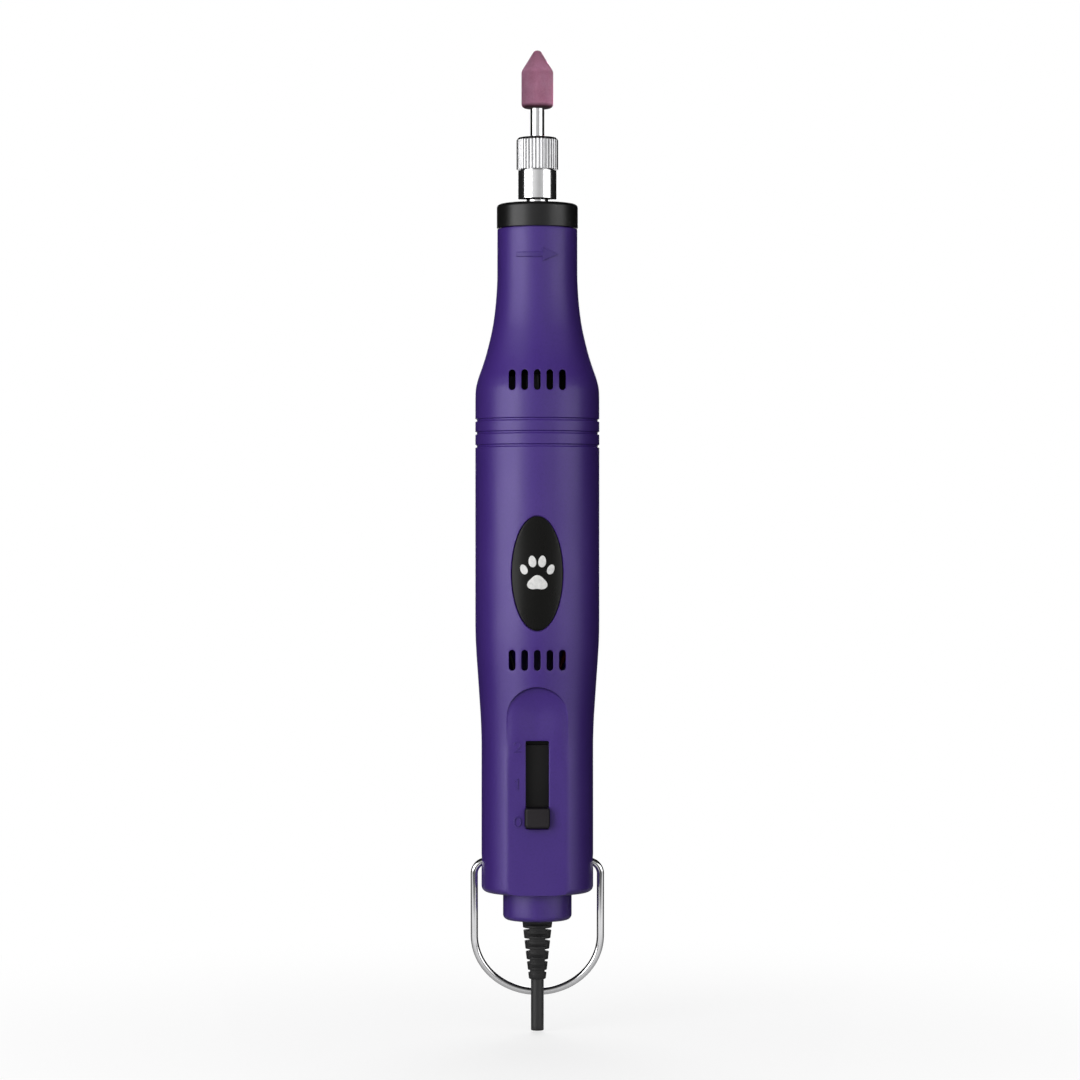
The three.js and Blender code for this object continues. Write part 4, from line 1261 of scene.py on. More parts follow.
# ---------------------------------------------------------------- raised marks
def in_region(loops, points):
    """In the first loop and outside the others."""
    keep = inside(loops[0], points)
    for loop in loops[1:]:
        keep &= ~inside(loop, points)
    return keep


def relief_patch(name, outline, wrap, material, lift, sink, edge_round, grid=0.5, holes=()):
    """Closed low relief over the outline: a raised face with a rounded edge, its base sunk
    into the surface. wrap(x, z, height) places a point above the surface."""
    loops = [np.asarray(loop, float) for loop in (outline, *holes)]
    for i, loop in enumerate(loops):  # the outline runs counter-clockwise, holes clockwise
        after = np.roll(loop, -1, axis=0)
        area = float((loop[:, 0] * after[:, 1] - after[:, 0] * loop[:, 1]).sum() / 2)
        if (area < 0) != (i > 0):
            loops[i] = loop[::-1]
    inset = [offset(loop, -edge_round) for loop in loops]
    low, high = inset[0].min(0), inset[0].max(0)
    across, up = np.meshgrid(*(np.arange(low[k], high[k] + grid, grid) for k in (0, 1)))
    fill = np.stack([across.ravel(), up.ravel()], 1)
    fill = fill[in_region(inset, fill)]
    fill = fill[distance(inset, fill) > grid * 0.35]
    points, edges, laid = [], [], []
    for loop in inset:
        start, count = len(points), len(loop)
        points += list(loop)
        edges += [(start + i, start + (i + 1) % count) for i in range(count)]
        laid.append(range(start, start + count))
    found, faces, centres, number = triangulate(points + list(fill), edges, 1e-8)

    skin = Skin()
    skin.add(wrap(x, z, lift) for x, z in found)
    skin.add(wrap(x, z, -sink) for x, z in found)
    count = len(found)
    kept = [faces[i] for i in np.nonzero(in_region(inset, centres))[0]]
    skin.faces += [tuple(face) for face in kept]
    skin.faces += [tuple(i + count for i in reversed(face)) for face in kept]
    steps = 4
    for loop, small, given in zip(loops, inset, laid):
        top = [number[i] for i in given]
        rings = [top]
        for k in range(1, steps + 1):
            angle = k / steps * pi / 2
            height = lift - edge_round * (1 - cos(angle))
            line = small + (loop - small) * sin(angle)
            rings.append(skin.add(wrap(x, z, height) for x, z in line))
        rings.append(skin.add(wrap(x, z, -sink) for x, z in loop))
        skin.join(rings + [[i + count for i in top]])
    return put(name, skin, material, "housing", sharp_angle=50.0)


def on_cylinder(radius):
    def wrap(x, z, height):
        angle = asin(max(-1, min(1, x / radius)))
        return ((radius + height) * sin(angle), -(radius + height) * cos(angle), z)

    return wrap


def on_panel(x, z, height):
    return (x, -PANEL_Y - height, z)


def round_outline(corners, mid_x, mid_z, radius):
    """Outline moved to (mid_x, mid_z) with rounded corners."""
    line = rounded([(x + mid_x, z + mid_z, radius) for x, z in corners], True, 9, 4)
    return divided(line, 0.6)


def stroke(line, width, cap_steps=7):
    """Outline of a round-ended stroke along a polyline."""
    path = np.array(line, float)
    along = np.gradient(path, axis=0)
    along /= np.linalg.norm(along, axis=1)[:, None]
    side = np.stack([along[:, 1], -along[:, 0]], 1) * width / 2

    def cap(centre, first):
        start = atan2(first[1], first[0])
        angles = [start + pi * i / cap_steps for i in range(1, cap_steps)]
        return [(centre[0] + width / 2 * cos(angle), centre[1] + width / 2 * sin(angle))
                for angle in angles]

    right, left = path + side, path - side
    out = list(map(tuple, right)) + cap(path[-1], side[-1])
    return np.array(out + list(map(tuple, left[::-1])) + cap(path[0], -side[0]))


# outlines (x, z) about the middle of each mark
ARROW = [(-4.6, -0.55), (1.15, -0.55), (1.15, -1.55), (4.7, 0), (1.15, 1.55), (1.15, 0.55),
         (-4.6, 0.55)]
ONE = [(-0.22, -1.2), (0.16, -1.2), (0.16, 1.25), (-0.12, 1.25), (-0.68, 0.72), (-0.46, 0.46),
       (-0.22, 0.68)]
TWO_FOOT = [(-0.86, -1.22), (0.86, -1.22), (0.86, -0.88), (-0.86, -0.88)]
# centre line (x, z)
TWO_CURVE = [(-0.68, 0.52), (-0.6, 0.82), (-0.36, 1.03), (0.0, 1.1), (0.38, 1.02), (0.63, 0.78),
             (0.68, 0.45), (0.56, 0.12), (0.28, -0.22), (-0.1, -0.6), (-0.45, -0.9),
             (-0.66, -1.04)]
ARROW_Z = 174.5
NUMERAL_X, NUMERAL_Z = -4.39, (47.85, 56.2, 64.5)


def numeral(name, outline, lift=0.30, holes=()):
    relief_patch(name, outline, on_panel, "mark", lift, sink=0.1, edge_round=0.10, holes=holes)


relief_patch("direction_arrow", round_outline(ARROW, 0, ARROW_Z, 0.15), on_cylinder(NECK_R),
             "mark", lift=0.30, sink=0.12, edge_round=0.10, grid=0.45)
numeral("numeral_0", ellipse(0.92, 1.25, NUMERAL_X, NUMERAL_Z[0], 40),
        holes=[ellipse(0.56, 0.89, NUMERAL_X, NUMERAL_Z[0], 32)])
numeral("numeral_1", round_outline(ONE, NUMERAL_X, NUMERAL_Z[1], 0.13))
curve = [(x + NUMERAL_X, z + NUMERAL_Z[2]) for x, z in subdivided(TWO_CURVE, lambda a, b: 3)]
numeral("numeral_2", stroke(curve, width=0.34))
numeral("numeral_2_foot", round_outline(TWO_FOOT, NUMERAL_X, NUMERAL_Z[2], 0.13), lift=0.298)

# ---------------------------------------------------------------- badge with a paw print
PAW_Z = 103.0
# (x, z above the paw's middle, half width, half height, tilt in degrees)
TOES = ((-2.95, 1.0, 0.78, 1.15, 24), (-1.08, 2.75, 0.86, 1.3, 7),
        (1.08, 2.75, 0.86, 1.3, -7), (2.95, 1.0, 0.78, 1.15, -24))


def pad_outline(mid_z):
    """Main pad of the paw: a circle with soft lobes."""
    points = []
    for i in range(72):
        angle = TAU * i / 72
        radius = 1.85 + 0.20 * cos(2 * angle) + 0.24 * cos(3 * (angle - pi / 2))
        points.append((radius * cos(angle) * 1.06, mid_z + radius * sin(angle) * 0.92))
    return np.array(points)


def toe_outline(mid_x, mid_z, half_x, half_z, tilt):
    angles = circle_angles(36)
    x = half_x * np.cos(angles)
    z = half_z * np.sin(angles) * (1 + 0.10 * np.sin(angles))
    cosine, sine = cos(radians(tilt)), sin(radians(tilt))
    return np.stack([mid_x + cosine * x - sine * z, mid_z + sine * x + cosine * z], 1)


def ink_patch(name, outline):
    relief_patch(name, outline, on_cylinder(BADGE_SURFACE_R - 0.005), "ink",
                 lift=0.028, sink=0.05, edge_round=0.02, grid=0.4)


badge = relief_patch(
    "badge_disc", ellipse(BADGE_HALF_X, BADGE_HALF_Z, 0, BADGE_Z, 120),
    on_cylinder(BADGE_SURFACE_R), "badge", lift=0.0, sink=0.5, edge_round=0.16)
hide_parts("badge_plate")
ink_patch("badge_paw_pad", pad_outline(PAW_Z - 1.9))
for i, (x, rise, half_x, half_z, tilt) in enumerate(TOES):
    ink_patch(f"badge_paw_toe_{i + 1}", toe_outline(x, PAW_Z + rise, half_x, half_z, tilt))

# ---------------------------------------------------------------- turned parts that show
# corners are (r, z, fillet)
NOSE_CAP = [(4.9, 184.6, 0.1), (8.15, 184.6, 0.1), (8.15, 180.95, 0.08), (9.15, 180.95, 0.1),
            (9.15, 186.4, 0.85), (4.9, 186.4, 0.25)]
SPINDLE = [(0, 150.1), (2.48, 150.1, 0.3), (2.48, 187.4, 0.1), (4.35, 187.4, 0.28),
           (4.35, 194.0, 0.12), (3.6, 194.0, 0.05), (3.6, 199.5, 0.25), (3.0, 199.5, 0.05),
           (1.72, 191.5, 0.1), (1.72, 169.8, 0.1), (0, 169.8)]
COLLET_NUT = [(3.78, 194.2, 0.06), (4.72, 194.2, 0.1), (4.72, 197.5), (4.72, 200.85, 0.4),
              (4.32, 201.4, 0.18), (3.95, 201.5, 0.1), (1.85, 201.5, 0.12), (1.85, 200.45, 0.1),
              (3.1, 200.45, 0.05), (3.1, 200.0, 0.05), (3.78, 199.8, 0.05)]
FLUTES = 32
SHANK_R = 1.5875
STONE = [(0, 214.2), (1.65, 214.2, 0.05), (1.65, 208.1, 0.05), (3.6, 208.1, 1.05),
         (3.6, 216.4, 1.6), (0.75, 221.05, 1.1), (0, 221.2)]
COLLET = [(1.65, 193.6, 0.05), (1.99, 193.6, 0.05), (2.9, 199.4, 0.12), (2.9, 200.35, 0.15),
          (1.65, 200.35, 0.12)]


def fluted_radius(angles, radius, z):
    """Rounded ridges with narrow valleys, dying out at the nut's chamfers."""
    if radius < 3.9:
        return np.full(len(angles), radius)
    turn = (angles * FLUTES / TAU) % 1.0
    ridge = np.abs(np.sin(turn * pi)) ** 0.75
    return np.minimum(4.55 + 0.17 * ridge, radius)


def stone_skin():
    """Stone with fine rings on its outer faces, roughened and pitted."""
    def parts(start, end):
        shows = (start[1] > 208.0 and min(start[0], end[0]) > 1.64) or start[1] > 214.5
        return max(1, int(dist(start, end) / 0.09)) if shows else 1

    def roughen(x, y, z):
        radius = hypot(x, y)
        if radius > 1.7 or z > 214.5:
            spot = Vector((x, y, z))
            grain = noise.noise(spot * 5.5) * 0.5 + noise.noise(spot * 11.0) * 0.35
            grain += noise.noise(Vector((x * 1.2, y * 1.2, z * 6.0))) * 0.3
            pit = max(0.0, noise.noise(spot * 7.0 + Vector((9, 3, 1))) - 0.42) * 1.5
            change = -0.018 + 0.028 * grain - 0.07 * pit
            scale = (radius + change) / max(radius, 1e-6) if radius > 0.05 else 1.0
            x, y = x * scale, y * scale
            if z > 218.0:
                z += change * 0.6
        return (x, y, z)

    skin = turned(subdivided(rounded(STONE, False, 9, 5), parts), 220)
    skin.move(roughen)
    return skin


def cut_box(piece, centre, size, rotation, narrow=1.0):
    """Cuts a box out of piece. narrow scales the box's -Y end."""
    mesh = bpy.data.meshes.new("cutter")
    bm = bmesh.new()
    bmesh.ops.create_cube(bm, size=1.0)
    for vert in bm.verts:
        if vert.co.y < 0:
            vert.co.x *= narrow
            vert.co.z *= narrow
    bm.to_mesh(mesh)
    bm.free()
    cutter = bpy.data.objects.new("cutter", mesh)
    scene.collection.objects.link(cutter)
    cutter.scale = [c * MM for c in size]
    cutter.location = [c * MM for c in centre]
    cutter.rotation_euler = rotation
    modifier = piece.modifiers.new("cut", "BOOLEAN")
    modifier.operation = "DIFFERENCE"
    modifier.solver = "EXACT"
    modifier.object = cutter
    bpy.context.view_layer.update()
    bake_cut(piece)
    bpy.data.objects.remove(cutter)


def bake_cut(piece):
    """Keeps the cut as the mesh, without the effect of the other modifiers."""
    for modifier in piece.modifiers:
        modifier.show_viewport = modifier.name == "cut"
    graph = bpy.context.evaluated_depsgraph_get()
    mesh = bpy.data.meshes.new_from_object(
        piece.evaluated_get(graph), preserve_all_data_layers=True, depsgraph=graph)
    old_mesh = piece.data
    piece.modifiers.remove(piece.modifiers["cut"])
    piece.data = mesh
    bpy.data.meshes.remove(old_mesh)
    for modifier in piece.modifiers:
        modifier.show_viewport = True
    shade_smooth(mesh, 32)


lathe("nose_cap_turned", NOSE_CAP, "black", "housing", "nose_cap", 192)
lathe("spindle_turned", SPINDLE, "chrome", "spindle", "spindle", 160)
lathe("collet_nut_fluted", COLLET_NUT, "nut", "collet_nut", "collet_nut", FLUTES * 12,
      fluted_radius, sharp_angle=42.0)
lathe("bit_shank", [(0, 170.1), (SHANK_R, 170.1, 0.22), (SHANK_R, 214.0), (0, 214.0)],
      "shank", "bit", "bit_mandrel", 96)
put("grinding_stone_grit", stone_skin(), "stone", "bit", "grinding_stone",
    sharp_angle=75.0, weighted=False)
collet = lathe("collet_split", COLLET, "steel", "collet", "collet", 96)
for i in range(3):
    turn = TAU * i / 3 + pi / 6
    cut_box(collet, (2 * cos(turn), 2 * sin(turn), 198.4), (4, 0.4, 6.4), (0, 0, turn))


# ---------------------------------------------------------------- slide switch
def block(half_x, front, back, bottom, top, edge_round, corner, dish=0.0):
    """Block whose front (-Y) face has rounded edges and may be dished along Z."""
    base = rounded_rect(half_x, bottom, top, corner, 0.35, 6)
    middle, half_z = (bottom + top) / 2, (top - bottom) / 2

    def rise(x, z):
        up, across = (z - middle) / half_z, x / half_x
        return dish * (up * up - 1) - 0.04 * across * across

    skin = Skin()

    def ring(inset, y, shaped):
        line = offset(base, -inset)
        return skin.add((x, y - (rise(x, z) if shaped else 0.0), z) for x, z in line)

    shoulder = front + edge_round
    rings = [ring(0.0, back, False), ring(0.0, shoulder + 0.4, False), ring(0.0, shoulder, True)]
    for k in range(1, 7):
        angle = k / 6 * pi / 2
        inset = edge_round * (1 - cos(angle))
        rings.append(ring(inset, front + edge_round * (1 - sin(angle)), True))
    skin.join(rings)

    outline = offset(base, -edge_round)
    across = np.arange(-half_x + edge_round + 0.2, half_x - edge_round - 0.1, 0.16)
    up = np.arange(bottom + edge_round + 0.2, top - edge_round - 0.1, 0.16)
    fill = np.stack(np.meshgrid(across, up), -1).reshape(-1, 2)
    fill = fill[inside(outline, fill)]
    fill = fill[distance([outline], fill) > 0.08]
    count = len(outline)
    edges = [(i, (i + 1) % count) for i in range(count)]
    found, faces, centres, number = triangulate(list(outline) + list(fill), edges, 1e-8)
    ids = {number[i]: rings[-1][i] for i in range(count)}
    for new, (x, z) in enumerate(found):
        if new not in ids:
            [ids[new]] = skin.add([(x, front - rise(x, z), z)])
    for i in np.nonzero(inside(outline, centres))[0]:
        skin.faces.append(tuple(ids[k] for k in faces[i]))
    skin.faces.append(tuple(reversed(rings[0])))
    return skin


knob = block(KNOB_HALF_X, front=-13.1, back=-10.8, bottom=KNOB_BOTTOM, top=KNOB_TOP,
             edge_round=0.74, corner=0.82, dish=0.10)
put("switch_knob", knob, "knob", "switch", "switch_slider", sharp_angle=48.0)
stem = block(2.38, front=-10.81, back=-8.45, bottom=46.65, top=50.95,
             edge_round=0.05, corner=0.3)
put("switch_knob_stem", stem, "knob", "switch")
cover = block(3.6, front=-8.55, back=-7.55, bottom=33.5, top=64.9, edge_round=0.12, corner=0.4)
put("switch_cover_plate", cover, "plate", "switch")
leg = block(0.8, front=-7.56, back=-5.3, bottom=48.0, top=49.6, edge_round=0.1, corner=0.15)
put("switch_drive_leg", leg, "plate", "switch")

# ---------------------------------------------------------------- screws in the back
# (r, height from the top of the head, fillet)
SCREW = [(0, -11.4), (0.35, -10.6, 0.1), (0.62, -9.4, 0.2), (0.62, -2.0, 0.1), (1.95, -1.95, 0.1),
         (1.95, -0.75, 0.3), (1.15, -0.04, 0.5), (0, 0.0)]
THREAD_BOTTOM, THREAD_TOP, THREAD_PITCH, THREAD_DEPTH = -10.6, -2.2, 0.85, 0.23
RECESS_LONG, RECESS_WIDE = 2.3, 0.42


def threaded_radius(angles, radius, z):
    if radius < 0.6 or z > THREAD_TOP or z < THREAD_BOTTOM:
        return np.full(len(angles), radius)
    turn = (z / THREAD_PITCH + angles / TAU) % 1.0
    return radius + THREAD_DEPTH * np.maximum(0, 1 - np.abs(turn - 0.5) * 4)


def screw(where, mid_x, mid_z):
    line = rounded(SCREW, False, 9, 4)
    line = subdivided(line, lambda a, b: 44 if abs(b[1] - a[1]) > 4 else 1)
    line = subdivided(line, lambda a, b: 3 if THREAD_BOTTOM < a[1] < THREAD_TOP else 1)
    skin = turned(line, 40, threaded_radius)
    skin.move(lambda x, y, z: (mid_x + x, SCREW_TOP + z, mid_z - y))  # head out of the back
    piece = put(f"screw_{where}", skin, "zinc", "housing", f"housing_screw_{where}",
                sharp_angle=40.0)
    turn = radians(24 + mid_z + mid_x * 7)  # each cross stands at its own angle
    for size in ((RECESS_LONG, 1.0, RECESS_WIDE), (RECESS_WIDE, 1.0, RECESS_LONG)):
        cut_box(piece, (mid_x, SCREW_TOP - 0.3, mid_z), size, (0, turn, 0), narrow=0.5)


for (x, z), where in zip(SCREWS, ("lower_left", "lower_right", "upper_left", "upper_right")):
    screw(where, x, z)

# ---------------------------------------------------------------- strain relief and cord
RELIEF_TOP_Z, RELIEF_END_Z = 24.8, 11.6
RELIEF_TOP_R, RELIEF_END_R, RELIEF_BORE_R = 3.42, 1.9, 1.53
RELIEF_PITCH = 2.38
CORD_R = 1.45


def relief_radius(z):
    part = (z - RELIEF_END_Z) / (RELIEF_TOP_Z - RELIEF_END_Z)
    return min(RELIEF_TOP_R, RELIEF_END_R + (RELIEF_TOP_R - RELIEF_END_R) * part)


def relief_skin():
    """Flanged cone, slit on both sides in turn across X and across Y."""
    slits = []  # z, half height, axis, half width of the web left standing
    for k in range(5):
        web = 1.66 + 0.05 * (4 - k)
        slits += [(22.9 - RELIEF_PITCH * k, 0.30, "x", web),
                  (24.05 - RELIEF_PITCH * k, 0.28, "y", web)]
    edge = 0.07
    rows = [(RELIEF_BORE_R, 29.0, None), (5.1, 29.0, None), (5.2, 28.9, None),
            (5.2, 27.2, None), (5.1, 27.1, None), (RELIEF_TOP_R, 27.1, None),
            (RELIEF_TOP_R, 24.9, None)]
    for middle, half, axis, web in sorted(slits, reverse=True):
        # (height from the middle of the slit, cut back, clipped to the web)
        above = [(half + edge, 0.0, None), (half + edge * 0.35, edge * 0.3, None),
                 (half, edge, None), (half, 0.0, (axis, web))]
        below = [(-rise, back, clip) for rise, back, clip in reversed(above)]
        for rise, back, clip in above + below:
            rows.append((relief_radius(middle + rise) - back, middle + rise, clip))
    rows += [(relief_radius(RELIEF_END_Z + 0.25), RELIEF_END_Z + 0.25, None),
             (RELIEF_END_R - 0.06, RELIEF_END_Z + 0.07, None),
             (RELIEF_END_R - 0.2, RELIEF_END_Z, None), (RELIEF_BORE_R, RELIEF_END_Z, None)]
    angles = circle_angles(160)
    skin, rings = Skin(), []
    for radius, z, clip in rows:
        radii = np.full(len(angles), radius)
        if clip:
            axis, web = clip
            share = np.abs(np.cos(angles) if axis == "x" else np.sin(angles))
            radii = np.minimum(radii, web / np.maximum(share, 1e-6))
        ring = zip(radii * np.cos(angles), radii * np.sin(angles), [z] * len(angles))
        rings.append(skin.add(ring))
    skin.join(rings + rings[:1])
    return skin


def cord_skin():
    """Cord along the axis, its sheath slightly uneven."""
    rows = [(0, 33.0), (1.36, 33.0), (CORD_R, 32.9)]
    rows += [(CORD_R, z) for z in np.arange(32.0, 0.5, -0.5)]
    rows += [(CORD_R, 0.16), (1.40, 0.05), (1.34, 0.0), (0, 0.0)]

    def ripple(x, y, z):
        radius = hypot(x, y)
        if radius > 1.2 and 0.3 < z < 32:
            wave = noise.noise(Vector((x * 0.5, y * 0.5, z * 0.45)))
            scale = 1 + (wave * 0.012 - 0.006) / radius
            x, y = x * scale, y * scale
        return (x, y, z)

    skin = turned(rows, 96)
    skin.move(ripple)
    return skin


put("strain_relief_ribbed", relief_skin(), "rubber", "housing", "strain_relief", sharp_angle=34.0)
put("cord_sheath_run", cord_skin(), "cord", "housing", "cord")

# ---------------------------------------------------------------- bail
BAIL_HALF_X, BAIL_CORNER, BAIL_PIN_X = 14.25, 2.95, 9.4
BAIL_STRAIGHT = 21.1 - BAIL_Z  # lower end of the straight sides, from the pins
BAIL_BOW = 12.85
BAIL_TILT = radians(5.5)
BAIL_WIRE_R = 0.82


def bail_line():
    """Centre line from the right pin round the bow to the left one, tilted about the pins."""
    reach = BAIL_HALF_X - BAIL_CORNER - BAIL_PIN_X
    line = [(BAIL_PIN_X + reach * part, 0.0) for part in np.linspace(0, 1, 8)[:-1]]
    line += [(BAIL_HALF_X - BAIL_CORNER + BAIL_CORNER * cos(angle),
              -BAIL_CORNER + BAIL_CORNER * sin(angle)) for angle in np.linspace(pi / 2, 0, 25)]
    line += [(BAIL_HALF_X, z) for z in np.linspace(-BAIL_CORNER, BAIL_STRAIGHT, 16)[1:]]
    line += [(BAIL_HALF_X * cos(angle), BAIL_STRAIGHT - BAIL_BOW * sin(angle))
             for angle in np.linspace(0, pi / 2, 49)[1:]]
    line += [(-x, z) for x, z in reversed(line[:-1])]
    return [(x, -z * sin(BAIL_TILT), BAIL_Z + z * cos(BAIL_TILT)) for x, z in line]


def tube(line, radius, sides, taper=0.2):
    """Round wire along a dense line, with eased ends."""
    path = np.array(line, float)
    along = np.gradient(path, axis=0)
    along /= np.linalg.norm(along, axis=1)[:, None]
    across = np.cross(along[0], [0, 1, 0.0])
    across /= np.linalg.norm(across)
    frames = []
    for direction in along:
        across = across - direction * (across @ direction)
        across /= np.linalg.norm(across)
        frames.append((across, np.cross(direction, across)))

    def ease(scale):
        return taper * (1 - sqrt(1 - scale * scale)) * 0.8

    centres = path.copy()
    centres[0] += along[0] * taper * 0.9
    centres[-1] -= along[-1] * taper * 0.9
    scales = (0.5, 0.8, 0.95)
    stations = [(path[0] + along[0] * ease(k), frames[0], k) for k in scales]
    stations += [(centre, axes, 1.0) for centre, axes in zip(centres, frames)]
    stations += [(path[-1] - along[-1] * ease(k), frames[-1], k) for k in reversed(scales)]

    skin, rings = Skin(), []
    [first_tip] = skin.add([path[0]])
    for centre, (side, other), scale in stations:
        rings.append(skin.add(
            centre + radius * scale * (cos(angle) * side + sin(angle) * other)
            for angle in circle_angles(sides)))
    [last_tip] = skin.add([path[-1]])
    skin.join(rings)
    for i in range(sides):
        j = (i + 1) % sides
        skin.faces.append((first_tip, rings[0][j], rings[0][i]))
        skin.faces.append((last_tip, rings[-1][i], rings[-1][j]))
    return skin


put("bail_wire", tube(bail_line(), BAIL_WIRE_R, 40), "wire", "bail", "bail",
    sharp_angle=60.0, weighted=False)

# ---------------------------------------------------------------- bearings
BEARING_HEIGHT = 5
BALLS, BALL_R, BALL_TRACK_R = 7, 1.08, 4.74


def sleeve(inner, outer, bottom, top, inner_fillet, outer_fillet):
    """(r, z, fillet) corners of a plain ring."""
    return [(inner, bottom, inner_fillet), (outer, bottom, outer_fillet),
            (outer, top, outer_fillet), (inner, top, inner_fillet)]


def bearing(where, bottom):
    top = bottom + BEARING_HEIGHT
    middle = bottom + BEARING_HEIGHT / 2
    lathe(f"{where}_outer_race_ground", sleeve(5.9, 7.0, bottom, top, 0.12, 0.25),
          "steel", "housing", f"{where}_bearing_outer_race")
    lathe(f"{where}_inner_race_ground", sleeve(2.56, 3.62, bottom, top, 0.15, 0.12),
          "steel", "spindle", f"{where}_bearing_inner_race", 96)
    lathe(f"{where}_cage_ring", sleeve(4.42, 5.05, middle - 0.42, middle + 0.42, 0.08, 0.08),
          "brass", f"{where}_balls", f"{where}_bearing_balls", 96)
    arc = [(BALL_R * sin(angle), middle - BALL_R * cos(angle))
           for angle in np.linspace(0, pi, 19)[1:-1]]
    profile = [(0.0, middle - BALL_R)] + arc + [(0.0, middle + BALL_R)]
    for i in range(BALLS):
        x, y = (BALL_TRACK_R * way(TAU * i / BALLS) for way in (cos, sin))
        ball = turned(profile, 28)
        ball.move(lambda bx, by, bz: (bx + x, by + y, bz))
        put(f"{where}_ball_{i + 1}", ball, "chrome", f"{where}_balls", slot="steel",
            sharp_angle=80.0, weighted=False)


bearing("front", 179.2)
bearing("rear", 158.6)

# ---------------------------------------------------------------- other turned parts inside
# corners are (r, z, fillet)
COUPLING = [(1.06, 143.0, 0.1), (4.4, 143.0, 0.3), (4.4, 156.0, 0.5), (2.56, 156.0, 0.2),
            (2.56, 149.8, 0.1), (1.06, 149.8, 0.1)]
MOTOR_SHAFT = [(0, 97.4), (1.0, 97.4, 0.15), (1.0, 149.4, 0.15), (0, 149.4)]
MOTOR_CAN = [(11.8, 103.2, 0.1), (11.8, 139.5, 1.0), (3.3, 139.5, 0.3), (3.3, 141.3, 0.15),
             (2.3, 141.3, 0.1), (2.3, 138.7, 0.3), (11.0, 138.7, 0.6), (11.0, 103.2, 0.1)]
FAN_HUB = [(4.5, 143.2, 0.1), (10.2, 143.2, 0.15), (10.2, 143.95, 0.2), (5.7, 144.1, 0.4),
           (5.6, 148.2, 0.3), (4.5, 148.2, 0.1)]
FAN_BLADES = 9
BLADE_ROOT_R, BLADE_TIP_R, BLADE_BOTTOM_Z = 5.2, 9.95, 143.7

lathe("bearing_spacer_turned", sleeve(6.1, 7.0, 163.9, 178.9, 0.15, 0.2),
      "aluminium", "housing", "bearing_spacer")
lathe("shaft_coupling_turned", COUPLING, "black", "spindle", "shaft_coupling", 96)
lathe("motor_shaft_ground", MOTOR_SHAFT, "steel", "spindle", "motor_shaft", 64)
lathe("motor_can_drawn", MOTOR_CAN, "can", "housing", "motor_can", 160)
for where, bottom, top in (("front", 137.8, 141.2), ("rear", 99.2, 102.6)):
    lathe(f"bushing_{where}_sintered", sleeve(1.07, 2.2, bottom, top, 0.12, 0.15),
          "bronze", "housing", f"motor_bushing_{where}", 72)


def fan_blade(start):
    """Blade that leans back and thins towards its tip."""
    sections = []
    for i, radius in enumerate(np.linspace(BLADE_ROOT_R, BLADE_TIP_R, 14)):
        part = (radius - BLADE_ROOT_R) / 4.75
        lean = 0.16 * part**1.5
        top = 147.75 - 0.5 * part**3
        half = 0.34 - 0.08 * i / 13
        section = []
        for z, side in ((BLADE_BOTTOM_Z, half), (top - 0.12, half), (top, half * 0.6),
                        (top, -half * 0.6), (top - 0.12, -half), (BLADE_BOTTOM_Z, -half)):
            angle = start - lean + side / radius
            section.append((radius * cos(angle), radius * sin(angle), z))
        sections.append(section)
    return extruded(sections)


lathe("cooling_fan_moulded", FAN_HUB, "fan", "spindle", "cooling_fan", 96)
for i in range(FAN_BLADES):
    put(f"cooling_fan_blade_{i + 1}", fan_blade(TAU * i / FAN_BLADES), "fan", "spindle")

# ---------------------------------------------------------------- CAD pieces that keep their shape
KEPT = {
    "motor_end_cap": "black", "motor_magnet_left": "ferrite", "motor_magnet_right": "ferrite",
    "carbon_brush_left": "carbon", "carbon_brush_right": "carbon",
    "motor_terminal_left": "brass", "motor_terminal_right": "brass",
    "armature_core": "core", "armature_winding": "copper", "commutator": "copper",
    "switch_contact": "brass", "switch_body": "plate", "circuit_board": "board",
    "speed_resistor": "ceramic", "supply_wire_black": "sleeve", "supply_wire_red": "red",
    "motor_wire_black": "sleeve", "motor_wire_red": "red",
}
for node, material in KEPT.items():
    for slot in frame["nodes"][node].material_slots:
        slot.material = MATERIALS[material]

# ---------------------------------------------------------------- camera, metres
CAMERA_DISTANCE = 0.800
VIEW_SIZE = 0.243864  # width seen at the object


def build_camera():
    data = bpy.data.cameras.new("camera")
    data.sensor_width = 36.0
    data.lens = 36.0 / VIEW_SIZE * CAMERA_DISTANCE
    data.clip_start, data.clip_end = 0.01, 30.0
    camera = bpy.data.objects.new("camera", data)
    scene.collection.objects.link(camera)
    camera.location = (0.0006, -CAMERA_DISTANCE, 0.11064)
    camera.rotation_euler = (radians(90), 0, 0)
    scene.camera = camera
    scene.view_settings.view_transform = "Standard"
    scene.view_settings.look = "None"


build_camera()


# ---------------------------------------------------------------- lights, metres and degrees
def softbox(name, azimuth, elevation, distance, size, power, reflected,
            target=(0, 0, 0.115), spread=None):
    """Azimuth 0 is in front of the object, positive to its right (+X).
    reflected: seen only in reflections; otherwise it lights only matt surfaces."""
    data = bpy.data.lights.new(name, "AREA")
    data.shape = "RECTANGLE"
    data.size, data.size_y = size
    data.energy = power
    if spread:
        data.spread = radians(spread)
    light = bpy.data.objects.new(name, data)
    scene.collection.objects.link(light)
    turn, lift = radians(azimuth), radians(elevation)
    back = Vector((sin(turn) * cos(lift), -cos(turn) * cos(lift), sin(lift)))
    light.location = Vector(target) + back * distance
    light.rotation_mode = "QUATERNION"
    light.rotation_quaternion = back.to_track_quat("Z", "Y")
    light.visible_camera = False
    light.visible_glossy = reflected
    light.visible_diffuse = not reflected


